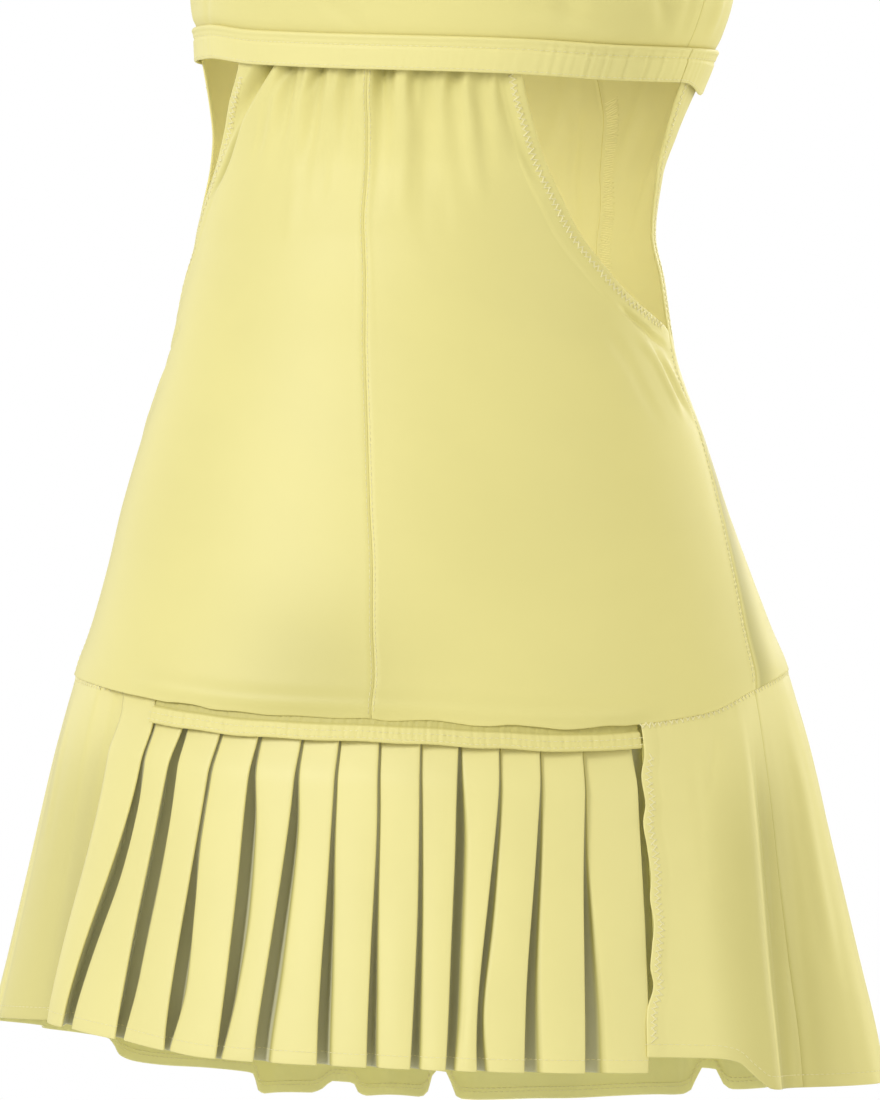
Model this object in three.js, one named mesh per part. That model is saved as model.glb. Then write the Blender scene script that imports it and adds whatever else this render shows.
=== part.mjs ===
// Tennis dress, filled out with no wearer in it.
//
// The frame is in millimetres with +Z up. The front of the dress faces -Y and the wearer's left is +X.
// The origin lies between the two shoulder straps, where the wearer's shoulders hold the dress up.
// Every piece of cloth lies on one stack of oval rings, which is the room that the dress fills.
// A place on a ring is an angle in degrees: 0 at the centre front, 90 at the wearer's left side and
// 180 at the centre back. A piece is a wall whose outer face runs through points on those rings.

import * as THREE from "three";

// Thicknesses of the cloth, and the gap that two pieces keep at a seam
const BODICE_CLOTH = 1.4;
const BODY_CLOTH = 1.4;
const BAND_CLOTH = 1.4;
const FLOUNCE_CLOTH = 1.2;
const PLEAT_CLOTH = 1;
const STRIP_CLOTH = 0.9;
const SEAM_GAP = 0.4;

// Heights at the wearer's side: the top of the body behind the band, the seam of the flounce and
// the lower tip of each cut-out
const SIDE_TOP = -339;
const SIDE_SEAM_END = -659;
const CUTOUT_TIP = -481;

// The underbust band, which stands out from the ring, and the body, whose top is tucked in behind
// it and comes back out to the ring over the fade
const BAND_HEIGHT = 17.5;
const BAND_STAND = { top: 1, bottom: 3.4 };
const BAND_SIDE_SEAM = 83;
const BODY_TUCK = { up: 5, in: 0.8, fade: 30 };

// The lower edge of the body, which rolls out over the seam of the flounce: it swells a little
// above the seam and curls back in at its edge
const ROLL = { out: 2.2, above: 9, reach: 7, curl: 1.1, curlReach: 3 };

// The straps slope down towards the shoulders, more and more over the top of the bodice
const SHOULDER = { slope: 0.28, from: 78, starts: -110 };

// The strip over the pleats
const STRIP = { from: -40, to: 40.5, below: 0.8, height: 11, in: 1.3 };

// A knife pleat: how far each fold runs back under its face and how deep it lies, at the stitched
// top and at the hem. The tops are held flat behind the strip and come free below it.
const PLEAT = {
  foldRadius: 1.15,
  valleyRadius: 0.35,
  undercut: { top: 6, hem: 8 },
  depth: { top: 3.6, hem: 9 },
  stitchedIn: 2.7,
  stitchedTo: 0.05,
  freeFrom: 0.2,
  faceBow: 0.8,
  riseBeyondGap: 1.6,
  riseAtLeast: 2.4,
  topBelowSeam: 1.2,
};

// How the next face rises beside a fold, from the valley at 0 up to the face at 1
const PLEAT_RISE = [
  { along: 0.06, up: 0.06 },
  { along: 0.5, up: 0.55 },
  { along: 0.95, up: 0.95 },
];
const PLEAT_CREST = { from: 90, to: -90, steps: 3 };
const PLEAT_PANEL_EDGE = { top: -51.5, upper: -49.5, lower: -53.5, hem: -54, in: 1.5 };
const PLEAT_STATIONS = { upper: 0.36, lower: 0.81 };

// The flounce round the sides and the back: its folds swing out towards the hem, and its end on
// the wearer's right is tucked in behind the pleats
const FLOUNCE = { topIn: 0.8, swing: 1.25, tuckFrom: 302, tuckOver: 4, tuckIn: 5.5 };
const FLOUNCE_FRONT_EDGE = { top: 40.9, upper: 39.6, hem: 37.6 };
const FLOUNCE_END = { top: 311, hem: 307 };
const FLOUNCE_SEAMS = { left: 70, right: 277 };

// The rings that the dress fills: height, half sizes, centre and the turn of the front
const RINGS = [
  { z: -900, halfWidth: 234.5, halfDepth: 163, x: -3.5, y: 0, turn: 6 },
  { z: -833, halfWidth: 225.5, halfDepth: 157, x: -3.5, y: 0, turn: 6 },
  { z: -802, halfWidth: 219.5, halfDepth: 153, x: -3.5, y: 0, turn: 6 },
  { z: -760, halfWidth: 211.5, halfDepth: 147, x: -3.5, y: 0, turn: 6 },
  { z: -698, halfWidth: 199.5, halfDepth: 139, x: -3.5, y: 0, turn: 6 },
  { z: -656, halfWidth: 189, halfDepth: 132, x: -3, y: 0, turn: 6 },
  { z: -625, halfWidth: 178, halfDepth: 124, x: -4, y: 0, turn: 5 },
  { z: -594, halfWidth: 168, halfDepth: 117, x: -6, y: 1, turn: 4.5 },
  { z: -563, halfWidth: 159, halfDepth: 111, x: -8, y: 1, turn: 3.5 },
  { z: -531, halfWidth: 149.5, halfDepth: 105, x: -8.5, y: 1, turn: 2 },
  { z: -490, halfWidth: 136, halfDepth: 98, x: -9, y: 1, turn: 0 },
  { z: -448, halfWidth: 128, halfDepth: 93, x: -7, y: 0, turn: -2 },
  { z: -427, halfWidth: 123.8, halfDepth: 90, x: -6.5, y: 0, turn: -3.5 },
  { z: -396, halfWidth: 123.3, halfDepth: 89, x: -1.5, y: 0, turn: -5.5 },
  { z: -375, halfWidth: 126.5, halfDepth: 91, x: 4, y: -1, turn: -7.5 },
  { z: -355, halfWidth: 133, halfDepth: 95, x: 8.5, y: -3, turn: -9 },
  { z: -334, halfWidth: 140.5, halfDepth: 100, x: 12, y: -4, turn: -9 },
  { z: -303, halfWidth: 148, halfDepth: 107, x: 15, y: -6, turn: -9 },
  { z: -255, halfWidth: 151, halfDepth: 115, x: 14, y: -8, turn: -8 },
  { z: -205, halfWidth: 149, halfDepth: 109, x: 11, y: -7, turn: -7 },
  { z: -150, halfWidth: 145, halfDepth: 94, x: 7, y: -4, turn: -5 },
  { z: -100, halfWidth: 141, halfDepth: 77, x: 4, y: -2, turn: -3 },
  { z: -60, halfWidth: 137, halfDepth: 60, x: 2, y: -1, turn: -2 },
  { z: -30, halfWidth: 134, halfDepth: 44, x: 1, y: 0, turn: -1 },
  { z: -14, halfWidth: 132, halfDepth: 31, x: 0, y: 0, turn: 0 },
  { z: -6, halfWidth: 131, halfDepth: 20, x: 0, y: 0, turn: 0 },
  { z: -1.5, halfWidth: 130, halfDepth: 9, x: 0, y: 0, turn: 0 },
  { z: 0.3, halfWidth: 130, halfDepth: 4, x: 0, y: 0, turn: 0 },
  { z: 0.5, halfWidth: 130, halfDepth: 0.7, x: 0, y: 0, turn: 0 },
];

// The top edge of the underbust band round the dress
const BAND_TOP = [
  { angle: -180, z: -322 },
  { angle: -90, z: -315 },
  { angle: -50, z: -317 },
  { angle: -30, z: -323 },
  { angle: 0, z: -329 },
  { angle: 34, z: -333 },
  { angle: 60, z: -335.5 },
  { angle: 90, z: -334 },
  { angle: 135, z: -329 },
  { angle: 180, z: -322 },
];

// The seam between the body and the flounce round the dress
const WAIST_SEAM = [
  { angle: -180, z: -650 },
  { angle: -110, z: -650 },
  { angle: -66, z: -656 },
  { angle: -40, z: -664 },
  { angle: -20, z: -670 },
  { angle: 5, z: -673 },
  { angle: 32, z: -677 },
  { angle: 54, z: -671 },
  { angle: 70, z: -659 },
  { angle: 90, z: -651 },
  { angle: 125, z: -649 },
  { angle: 180, z: -650 },
];

// The side edges of the front panels, on the wearer's left and right: round the cut-out to its
// tip, then down the side seam. The angles are from the centre front.
const FRONT_SIDE_EDGE = [
  { z: -659, left: 70, right: 83 },
  { z: -634, left: 74, right: 84 },
  { z: -599, left: 80.5, right: 85 },
  { z: -563, left: 87.5, right: 86 },
  { z: -524, left: 92, right: 87 },
  { z: -481, left: 92, right: 86 },
  { z: -472, left: 82.5, right: 80.5 },
  { z: -462, left: 73.5, right: 76 },
  { z: -450, left: 66.5, right: 71.5 },
  { z: -437, left: 61.3, right: 67 },
  { z: -423, left: 56.6, right: 62.5 },
  { z: -409, left: 52, right: 58 },
  { z: -391, left: 46, right: 52 },
  { z: -372, left: 41, right: 45 },
  { z: -352, left: 36.5, right: 38 },
  { z: -339, left: 34, right: 35.5 },
];

// The cut edges of the side backs, from the tips of the cut-outs up to the band
const CUTOUT_BACK_EDGE = [
  { z: -481, left: 92, right: 86 },
  { z: -462, left: 92, right: 81.5 },
  { z: -450, left: 92.5, right: 80 },
  { z: -409, left: 93, right: 76 },
  { z: -379, left: 90, right: 73 },
  { z: -339, left: 86, right: 71 },
];

// The seams between the centre back and the side backs, as angles from the centre back
const BACK_SEAM = [
  { z: -659, angle: 28 },
  { z: -560, angle: 28 },
  { z: -524, angle: 30 },
  { z: -480, angle: 33 },
  { z: -425, angle: 34 },
  { z: -380, angle: 25 },
  { z: -339, angle: 13 },
];

// The soft gathers that hang from the band over the front
const GATHERS = [
  { angle: -29, halfWidth: 4.5, depth: 4, length: 70, slant: -26 },
  { angle: -20.5, halfWidth: 4, depth: 3.2, length: 60, slant: -12 },
  { angle: -12.5, halfWidth: 4, depth: 3, length: 75, slant: -9 },
  { angle: -5, halfWidth: 3.6, depth: 2.6, length: 60, slant: -3 },
  { angle: 4, halfWidth: 4.2, depth: 3.2, length: 80, slant: 0 },
  { angle: 13.5, halfWidth: 4.6, depth: 2.6, length: 100, slant: 4 },
  { angle: 20, halfWidth: 3.6, depth: 2, length: 70, slant: 8 },
  { angle: 26, halfWidth: 3.4, depth: 1.8, length: 60, slant: 12 },
  { angle: 31.5, halfWidth: 3, depth: 1.6, length: 50, slant: 16 },
];

// Soft gathers under the band over the back, as angles from the centre back
const BACK_GATHERS = [
  { angle: -52, halfWidth: 6, depth: 2, length: 70, slant: -8 },
  { angle: -34, halfWidth: 5.5, depth: 2.4, length: 80, slant: -5 },
  { angle: -9, halfWidth: 5, depth: 1.8, length: 60, slant: 0 },
  { angle: 10, halfWidth: 5.5, depth: 2.2, length: 75, slant: 2 },
  { angle: 37, halfWidth: 5.5, depth: 2, length: 65, slant: 5 },
  { angle: 55, halfWidth: 6, depth: 2.2, length: 80, slant: 8 },
];

// The folded edge of each knife pleat, as angles from the seam down to the hem, and how wide the
// gap beside it stands open, in millimetres
const PLEATS = [
  { top: -41, upper: -41, lower: -47.5, hem: -49, gapUpper: 4.2, gapHem: 5.7 },
  { top: -33, upper: -34.5, lower: -36.5, hem: -37, gapUpper: 5.2, gapHem: 6.8 },
  { top: -25.5, upper: -26.5, lower: -28, hem: -28, gapUpper: 1.2, gapHem: 6.2 },
  { top: -18.5, upper: -19, lower: -19.5, hem: -20, gapUpper: 5.2, gapHem: 5.2 },
  { top: -11.5, upper: -12, lower: -14, hem: -14.5, gapUpper: 4.2, gapHem: 7.8 },
  { top: -5.5, upper: -5.5, lower: -6, hem: -6, gapUpper: 2.1, gapHem: 6.2 },
  { top: 0.5, upper: 1, lower: 0.5, hem: 0.5, gapUpper: 1.6, gapHem: 4.7 },
  { top: 7, upper: 7, lower: 6.5, hem: 6, gapUpper: 2.1, gapHem: 3.8 },
  { top: 13, upper: 12, lower: 11, hem: 10.5, gapUpper: 4.7, gapHem: 5.7 },
  { top: 19, upper: 17.5, lower: 14.8, hem: 14.5, gapUpper: 2.6, gapHem: 4.4 },
  { top: 25.5, upper: 23.5, lower: 21, hem: 20.5, gapUpper: 2.1, gapHem: 6.8 },
  { top: 32.5, upper: 30.5, lower: 29, hem: 28.5, gapUpper: 2.6, gapHem: 8.2 },
  { top: 40, upper: 38, lower: 37, hem: 36.5, gapUpper: 5.2, gapHem: 5.2 },
];

// The hem of the pleated panel
const PLEAT_HEM = [
  { angle: -54, z: -830 },
  { angle: -37, z: -835 },
  { angle: -20, z: -842 },
  { angle: 0, z: -844 },
  { angle: 20, z: -846 },
  { angle: 37, z: -847 },
];

// The folds of the flounce at its hem, from the front edge on the left round the back to the right
const FLUTES = [
  { angle: 36, out: 0 },
  { angle: 41, out: 1 },
  { angle: 47, out: 5 },
  { angle: 54, out: 4 },
  { angle: 59, out: 0 },
  { angle: 66, out: -8 },
  { angle: 70, out: -8 },
  { angle: 79, out: 7 },
  { angle: 89, out: -4 },
  { angle: 100, out: 6 },
  { angle: 111, out: -7 },
  { angle: 121, out: 7 },
  { angle: 131, out: -8 },
  { angle: 139, out: 6 },
  { angle: 144.5, out: 4 },
  { angle: 149, out: -10 },
  { angle: 158, out: 6 },
  { angle: 167, out: -4 },
  { angle: 176, out: 6 },
  { angle: 182, out: 3 },
  { angle: 187, out: -11 },
  { angle: 194, out: 6 },
  { angle: 201, out: -11 },
  { angle: 209, out: 6 },
  { angle: 215.5, out: -7 },
  { angle: 223, out: 5 },
  { angle: 232, out: 3 },
  { angle: 240, out: -7 },
  { angle: 250, out: 6 },
  { angle: 262, out: -6 },
  { angle: 273, out: 6 },
  { angle: 285, out: -4 },
  { angle: 295, out: 3 },
  { angle: 306, out: -1 },
];

// The hem of the flounce, longest at the back and lifted where a fold turns in
const FLOUNCE_HEM = [
  { angle: 36, z: -839 },
  { angle: 44, z: -840 },
  { angle: 48, z: -848 },
  { angle: 53, z: -856 },
  { angle: 76, z: -860 },
  { angle: 101, z: -859 },
  { angle: 125, z: -867 },
  { angle: 141, z: -877 },
  { angle: 146, z: -878 },
  { angle: 149, z: -866 },
  { angle: 152, z: -881 },
  { angle: 165, z: -886 },
  { angle: 183, z: -890 },
  { angle: 187, z: -872 },
  { angle: 190, z: -888 },
  { angle: 197, z: -888 },
  { angle: 201, z: -879 },
  { angle: 204, z: -885 },
  { angle: 212, z: -886 },
  { angle: 216, z: -869 },
  { angle: 239, z: -857 },
  { angle: 260, z: -844 },
  { angle: 287, z: -832 },
  { angle: 309, z: -829 },
];

// The front of the bodice from the band up, row by row: its outer edge, which is the side seam and
// then the armhole, and its inner edge, which is the centre line and then the neckline
const BODICE_FRONT = [
  { outerAngle: 82, outerZ: -334, innerAngle: 0, innerZ: -329 },
  { outerAngle: 82.5, outerZ: -305, innerAngle: 0, innerZ: -300 },
  { outerAngle: 83, outerZ: -275, innerAngle: 0, innerZ: -265 },
  { outerAngle: 84, outerZ: -245, innerAngle: 0, innerZ: -230 },
  { outerAngle: 85, outerZ: -215, innerAngle: 0, innerZ: -197 },
  { outerAngle: 76, outerZ: -203, innerAngle: 0, innerZ: -177 },
  { outerAngle: 68, outerZ: -185, innerAngle: 0, innerZ: -160 },
  { outerAngle: 62.5, outerZ: -160, innerAngle: 14, innerZ: -153 },
  { outerAngle: 59, outerZ: -135, innerAngle: 23, innerZ: -136 },
  { outerAngle: 57, outerZ: -105, innerAngle: 28.5, innerZ: -110 },
  { outerAngle: 56, outerZ: -75, innerAngle: 31.5, innerZ: -78 },
  { outerAngle: 56.5, outerZ: -45, innerAngle: 33, innerZ: -46 },
  { outerAngle: 58, outerZ: -20, innerAngle: 34, innerZ: -20 },
  { outerAngle: 59, outerZ: -7, innerAngle: 34.5, innerZ: -7 },
  { outerAngle: 60, outerZ: -1.2, innerAngle: 35, innerZ: -1.2 },
  { outerAngle: 60, outerZ: 0.3, innerAngle: 35, innerZ: 0.3 },
  { outerAngle: 60, outerZ: 0.5, innerAngle: 35, innerZ: 0.5 },
];

// The back of the bodice in the same way, as angles from the centre back, with a higher neckline
const BODICE_BACK = [
  { outerAngle: 98, outerZ: -334, innerAngle: 0, innerZ: -322 },
  { outerAngle: 97.5, outerZ: -305, innerAngle: 0, innerZ: -290 },
  { outerAngle: 97, outerZ: -275, innerAngle: 0, innerZ: -258 },
  { outerAngle: 96, outerZ: -245, innerAngle: 0, innerZ: -225 },
  { outerAngle: 95, outerZ: -215, innerAngle: 0, innerZ: -192 },
  { outerAngle: 83, outerZ: -203, innerAngle: 0, innerZ: -165 },
  { outerAngle: 73, outerZ: -185, innerAngle: 0, innerZ: -140 },
  { outerAngle: 65, outerZ: -160, innerAngle: 0, innerZ: -118 },
  { outerAngle: 60, outerZ: -135, innerAngle: 0, innerZ: -100 },
  { outerAngle: 57, outerZ: -105, innerAngle: 17, innerZ: -93 },
  { outerAngle: 56, outerZ: -75, innerAngle: 27, innerZ: -72 },
  { outerAngle: 56.5, outerZ: -45, innerAngle: 32, innerZ: -45 },
  { outerAngle: 58, outerZ: -20, innerAngle: 34, innerZ: -20 },
  { outerAngle: 59, outerZ: -7, innerAngle: 34.5, innerZ: -7 },
  { outerAngle: 60, outerZ: -1.2, innerAngle: 35, innerZ: -1.2 },
  { outerAngle: 60, outerZ: 0.3, innerAngle: 35, innerZ: 0.3 },
  { outerAngle: 60, outerZ: 0.5, innerAngle: 35, innerZ: 0.5 },
];

// How finely each piece is divided, and the rows of the pieces as parts of the way down
const BODICE_COLUMNS = 7;
const BAND_COLUMNS = 24;
const BODY_FRONT_COLUMNS = 14;
const BACK_CENTRE_COLUMNS = 8;
const BACK_SIDE_COLUMNS = 6;
const STRIP_COLUMNS = 40;
const FLOUNCE_STEP = 2.7;
const CUTOUT_ROWS = 8;
const HIP_ROWS = 6;
const ROLL_ROWS = [26, 16, 9, 4, 0];
const PLEAT_ROWS = [0, 0.05, 0.2, 0.36, 0.55, 0.78, 1];
const FLOUNCE_ROWS = [0, 0.1, 0.3, 0.55, 0.78, 1];

// Points closer than this are one point, directions are measured over the nudge, and a wall's
// inner point at a fold moves in no further than its thickness over the fold limit
const POINT_STEP = 1e-4;
const NUDGE = 1e-3;
const FOLD_LIMIT = 0.5;

const cloth = {
  body: new THREE.MeshStandardMaterial({ color: "#ece39a", roughness: 0.62, metalness: 0 }),
  bodice: new THREE.MeshStandardMaterial({ color: "#ebe298", roughness: 0.62, metalness: 0 }),
  band: new THREE.MeshStandardMaterial({ color: "#efe7a2", roughness: 0.65, metalness: 0 }),
  skirt: new THREE.MeshStandardMaterial({ color: "#ede59e", roughness: 0.6, metalness: 0 }),
  strip: new THREE.MeshStandardMaterial({ color: "#e9e096", roughness: 0.68, metalness: 0 }),
};

function mix(from, to, part) {
  return from + (to - from) * part;
}

function smoothStep(part) {
  const held = Math.min(1, Math.max(0, part));
  return held * held * (3 - 2 * held);
}

// A round hill, 1 high at 0 and flat at -1 and 1
function hill(at) {
  return Math.abs(at) < 1 ? (1 + Math.cos(Math.PI * at)) / 2 : 0;
}

// The slope of a smooth curve through a table's column at one row, 0 where the curve turns back
function slopeAtRow(rows, key, name, index) {
  const rise = (i) => (rows[i + 1][name] - rows[i][name]) / (rows[i + 1][key] - rows[i][key]);
  if (index === 0) return rise(0);
  if (index === rows.length - 1) return rise(index - 1);
  const before = rise(index - 1);
  const after = rise(index);
  return before * after > 0 ? (2 * before * after) / (before + after) : 0;
}

// A smooth curve through one column of a table, with no overshoot between its rows
function columnAt(rows, key, name, at) {
  const last = rows.length - 1;
  if (at <= rows[0][key]) return rows[0][name];
  if (at >= rows[last][key]) return rows[last][name];
  const index = rows.findIndex((row, i) => at < rows[i + 1][key]);
  const span = rows[index + 1][key] - rows[index][key];
  const t = (at - rows[index][key]) / span;
  const startSlope = slopeAtRow(rows, key, name, index) * span;
  const endSlope = slopeAtRow(rows, key, name, index + 1) * span;
  const blend = smoothStep(t);
  const startPull = t * (1 - t) * (1 - t) * startSlope;
  const endPull = t * t * (1 - t) * endSlope;
  return mix(rows[index][name], rows[index + 1][name], blend) + startPull - endPull;
}

// The same angle between -180 and 180
function signed(angle) {
  return angle - 360 * Math.round(angle / 360);
}

function bandTop(angle) {
  return columnAt(BAND_TOP, "angle", "z", signed(angle));
}

function waistSeam(angle) {
  return columnAt(WAIST_SEAM, "angle", "z", signed(angle));
}

// A point on the ring at height z, moved outwards by out
function onRing(angle, z, out) {
  const ring = (name) => columnAt(RINGS, "z", name, z);
  const around = THREE.MathUtils.degToRad(angle);
  const turn = THREE.MathUtils.degToRad(ring("turn"));
  const across = (ring("halfWidth") + out) * Math.sin(around);
  const forward = (ring("halfDepth") + out) * Math.cos(around);
  return new THREE.Vector3(
    ring("x") + across * Math.cos(turn) + forward * Math.sin(turn),
    ring("y") + across * Math.sin(turn) - forward * Math.cos(turn),
    z,
  );
}

// How many degrees one millimetre takes along the ring
function degreesPerMillimetre(angle, z) {
  const around = THREE.MathUtils.degToRad(angle);
  const width = columnAt(RINGS, "z", "halfWidth", z) * Math.cos(around);
  const depth = columnAt(RINGS, "z", "halfDepth", z) * Math.sin(around);
  return THREE.MathUtils.radToDeg(1 / Math.hypot(width, depth));
}

// An angle part of the way from one seam to the next, half a gap clear of each
function betweenSeams(from, to, part, z) {
  const halfGap = SEAM_GAP / 2;
  const start = from + halfGap * degreesPerMillimetre(from, z);
  const end = to - halfGap * degreesPerMillimetre(to, z);
  return mix(start, end, part);
}

// A point of a smooth surface with its outward direction, so that walls that meet at a seam
// end alike. The surface gives a point for an angle and a way down.
function smoothPoint(surface, angle, down) {
  const point = surface(angle, down);
  const along = surface(angle + NUDGE, down).sub(surface(angle - NUDGE, down));
  const downwards = surface(angle, down + NUDGE).sub(surface(angle, down - NUDGE));
  point.outward = downwards.cross(along).normalize();
  return point;
}

// Points that share a place share one number, so that cells laid side by side join up
function joinPoints(points, cells) {
  const numberOf = new Map();
  const joined = [];
  const numbers = points.map((point) => {
    const key = point.toArray().map((value) => Math.round(value / POINT_STEP)).join();
    if (!numberOf.has(key)) {
      numberOf.set(key, joined.length);
      joined.push(point);
    }
    return numberOf.get(key);
  });
  return { points: joined, cells: cells.map((cell) => cell.map((corner) => numbers[corner])) };
}

// The inner face of a wall: each point moved in along its outward direction or, where it has
// none, along the middle of its cells' normals, and further at a fold to keep the thickness
function innerPoints(points, cells, thickness) {
  const normals = points.map(() => []);
  for (const cell of cells) {
    const [a, b, c, d] = cell.map((corner) => points[corner]);
    const normal = c.clone().sub(a).cross(d.clone().sub(b)).normalize();
    new Set(cell).forEach((corner) => normals[corner].push(normal));
  }
  return points.map((point, index) => {
    if (point.outward) return point.clone().addScaledVector(point.outward, -thickness);
    const middle = new THREE.Vector3();
    normals[index].forEach((normal) => middle.add(normal));
    middle.normalize();
    const along = normals[index].reduce((sum, normal) => sum + normal.dot(middle), 0);
    const reach = thickness / Math.max(FOLD_LIMIT, along / normals[index].length);
    return point.clone().addScaledVector(middle, -reach);
  });
}

// A closed wall on four-cornered cells, which run anticlockwise seen from outside
function wall(name, material, sheet, thickness) {
  const { points, cells } = joinPoints(sheet.points, sheet.cells);
  const inner = points.length;
  const triangles = [];
  const addTriangle = (a, b, c) => {
    if (a !== b && b !== c && c !== a) triangles.push(a, b, c);
  };
  const edges = new Set();
  const eachEdge = (visit) => cells.forEach((cell) => {
    const corners = cell.filter((corner, i) => corner !== cell[(i + 1) % cell.length]);
    corners.forEach((corner, i) => visit(corner, corners[(i + 1) % corners.length]));
  });
  eachEdge((from, to) => edges.add(`${from} ${to}`));
  for (const [a, b, c, d] of cells) {
    addTriangle(a, b, c);
    addTriangle(a, c, d);
    addTriangle(inner + a, inner + c, inner + b);
    addTriangle(inner + a, inner + d, inner + c);
  }
  eachEdge((from, to) => {
    if (edges.has(`${to} ${from}`)) return;
    addTriangle(to, from, inner + from);
    addTriangle(to, inner + from, inner + to);
  });
  const corners = [...points, ...innerPoints(points, cells, thickness)];
  const geometry = new THREE.BufferGeometry().setFromPoints(corners);
  geometry.setIndex(triangles);
  geometry.computeVertexNormals();
  const mesh = new THREE.Mesh(geometry, material);
  mesh.name = name;
  return mesh;
}

// A sheet of cells over rows of points, each row from the smaller angle to the larger one
function sheetOfRows(rows) {
  const columns = rows[0].length;
  const cells = [];
  for (let j = 0; j + 1 < rows.length; j += 1) {
    for (let i = 0; i + 1 < columns; i += 1) {
      const upper = j * columns + i;
      const lower = upper + columns;
      cells.push([upper, lower, lower + 1, upper + 1]);
    }
  }
  return { points: rows.flat(), cells };
}

function joinSheets(first, second) {
  const shift = first.points.length;
  const moved = second.cells.map((cell) => cell.map((corner) => corner + shift));
  return { points: [...first.points, ...second.points], cells: [...first.cells, ...moved] };
}

function steps(count) {
  return Array.from({ length: count + 1 }, (_, i) => i / count);
}

// A point of the bodice, a given number of millimetres down from the shoulders
function bodiceSurface(angle, down) {
  const point = onRing(angle, -down, 0);
  const sloping = smoothStep((-down - SHOULDER.starts) / -SHOULDER.starts);
  point.z -= SHOULDER.slope * Math.max(0, Math.abs(point.x) - SHOULDER.from) * sloping;
  return point;
}

// A point of a bodice half on one of its rows: facing is 0 for the front and 180 for the back
function bodicePoint(facing, side, rows, row, part) {
  const { outerAngle, outerZ, innerAngle, innerZ } = rows[row];
  const height = mix(outerZ, innerZ, part);
  const outer = outerAngle - (SEAM_GAP / 2) * degreesPerMillimetre(outerAngle, height);
  const angle = facing + side * mix(outer, innerAngle, part);
  const aboveBand = bandTop(angle) + SEAM_GAP;
  return smoothPoint(bodiceSurface, angle, row === 0 ? -aboveBand : -height);
}

// One half of a bodice piece, from its outer edge in to the centre line and the neckline
function bodiceHalf(facing, side, rows) {
  const parts = steps(BODICE_COLUMNS);
  const ordered = side < 0 ? parts : [...parts].reverse();
  const lines = rows.map((_, row) => ordered.map((part) => bodicePoint(facing, side, rows, row, part)));
  return sheetOfRows(lines.reverse());
}

function bodice(name, facing, rows) {
  const halves = joinSheets(bodiceHalf(facing, 1, rows), bodiceHalf(facing, -1, rows));
  return wall(name, cloth.bodice, halves, BODICE_CLOTH);
}

// A point of the underbust band: down is 0 at its top edge and 1 at its bottom edge
function bandSurface(angle, down) {
  const out = mix(BAND_STAND.top, BAND_STAND.bottom, down);
  return onRing(angle, bandTop(angle) - BAND_HEIGHT * down, out);
}

// Half of the underbust band, one strip from side seam to side seam
function bandHalf(name, from, to) {
  const rows = steps(2).map((down) => steps(BAND_COLUMNS).map((part) => {
    const angle = betweenSeams(from, to, part, bandTop(from));
    return smoothPoint(bandSurface, angle, down);
  }));
  return wall(name, cloth.band, sheetOfRows(rows), BAND_CLOTH);
}

// How deep the gathers are at one place, and how far below the band that is
function gatherDepth(gathers, angle, below) {
  return gathers.reduce((depth, gather) => {
    const centre = gather.angle + (gather.slant * below) / 100;
    const fade = 1 - smoothStep(below / gather.length);
    return depth + gather.depth * fade * hill((angle - centre) / gather.halfWidth);
  }, 0);
}

// How far the lower edge of the body stands out, a given height above the seam
function rollOut(above) {
  const swell = Math.exp(-(((above - ROLL.above) / ROLL.reach) ** 2));
  const curl = Math.exp(-((above / ROLL.curlReach) ** 2));
  return ROLL.out * swell - ROLL.curl * curl;
}

// A point of the body: down is 0 behind the band and 1 at the seam of the flounce
function bodySurface(angle, down) {
  const z = mix(bandTop(angle) - BODY_TUCK.up, waistSeam(angle), down);
  const below = Math.max(0, bandTop(angle) - BAND_HEIGHT - z);
  const tucked = BODY_TUCK.in * (1 - smoothStep(below / BODY_TUCK.fade));
  const front = gatherDepth(GATHERS, signed(angle), below);
  const back = gatherDepth(BACK_GATHERS, signed(angle - 180), below);
  return onRing(angle, z, rollOut(z - waistSeam(angle)) - tucked - front - back);
}

// The rows of the body: even ones down to the tip of the cut-outs, even ones over the hips,
// and close ones over the roll at the lower edge
function bodyRows() {
  const downTo = (z) => (SIDE_TOP - z) / (SIDE_TOP - SIDE_SEAM_END);
  const cutout = steps(CUTOUT_ROWS).map((part) => downTo(mix(SIDE_TOP, CUTOUT_TIP, part)));
  const rollStart = SIDE_SEAM_END + ROLL_ROWS[0];
  const hips = steps(HIP_ROWS).slice(1, -1).map((part) => downTo(mix(CUTOUT_TIP, rollStart, part)));
  const roll = ROLL_ROWS.map((above) => downTo(SIDE_SEAM_END + above));
  return [...cutout, ...hips, ...roll];
}

// A body panel between two edges, each an angle at a height
function bodyPanel(name, columns, fromEdge, toEdge) {
  const rows = bodyRows().map((down) => {
    const height = mix(SIDE_TOP, SIDE_SEAM_END, down);
    return steps(columns).map((part) => {
      const angle = betweenSeams(fromEdge(height), toEdge(height), part, height);
      return smoothPoint(bodySurface, angle, down);
    });
  });
  return wall(name, cloth.body, sheetOfRows(rows), BODY_CLOTH);
}

function frontSideEdge(side, z) {
  return columnAt(FRONT_SIDE_EDGE, "z", side, z);
}

function backSideEdge(side, z) {
  return z > CUTOUT_TIP ? columnAt(CUTOUT_BACK_EDGE, "z", side, z) : frontSideEdge(side, z);
}

function backSeam(z) {
  return columnAt(BACK_SEAM, "z", "angle", z);
}

function stripSurface(angle, down) {
  return onRing(angle, waistSeam(angle) - STRIP.below - STRIP.height * down, -STRIP.in);
}

// The strip stitched over the tops of the pleats
function pleatStrip(name) {
  const rows = steps(1).map((down) => steps(STRIP_COLUMNS).map((part) => (
    smoothPoint(stripSurface, mix(STRIP.from, STRIP.to, part), down)
  )));
  return wall(name, cloth.strip, sheetOfRows(rows), STRIP_CLOTH);
}

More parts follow.
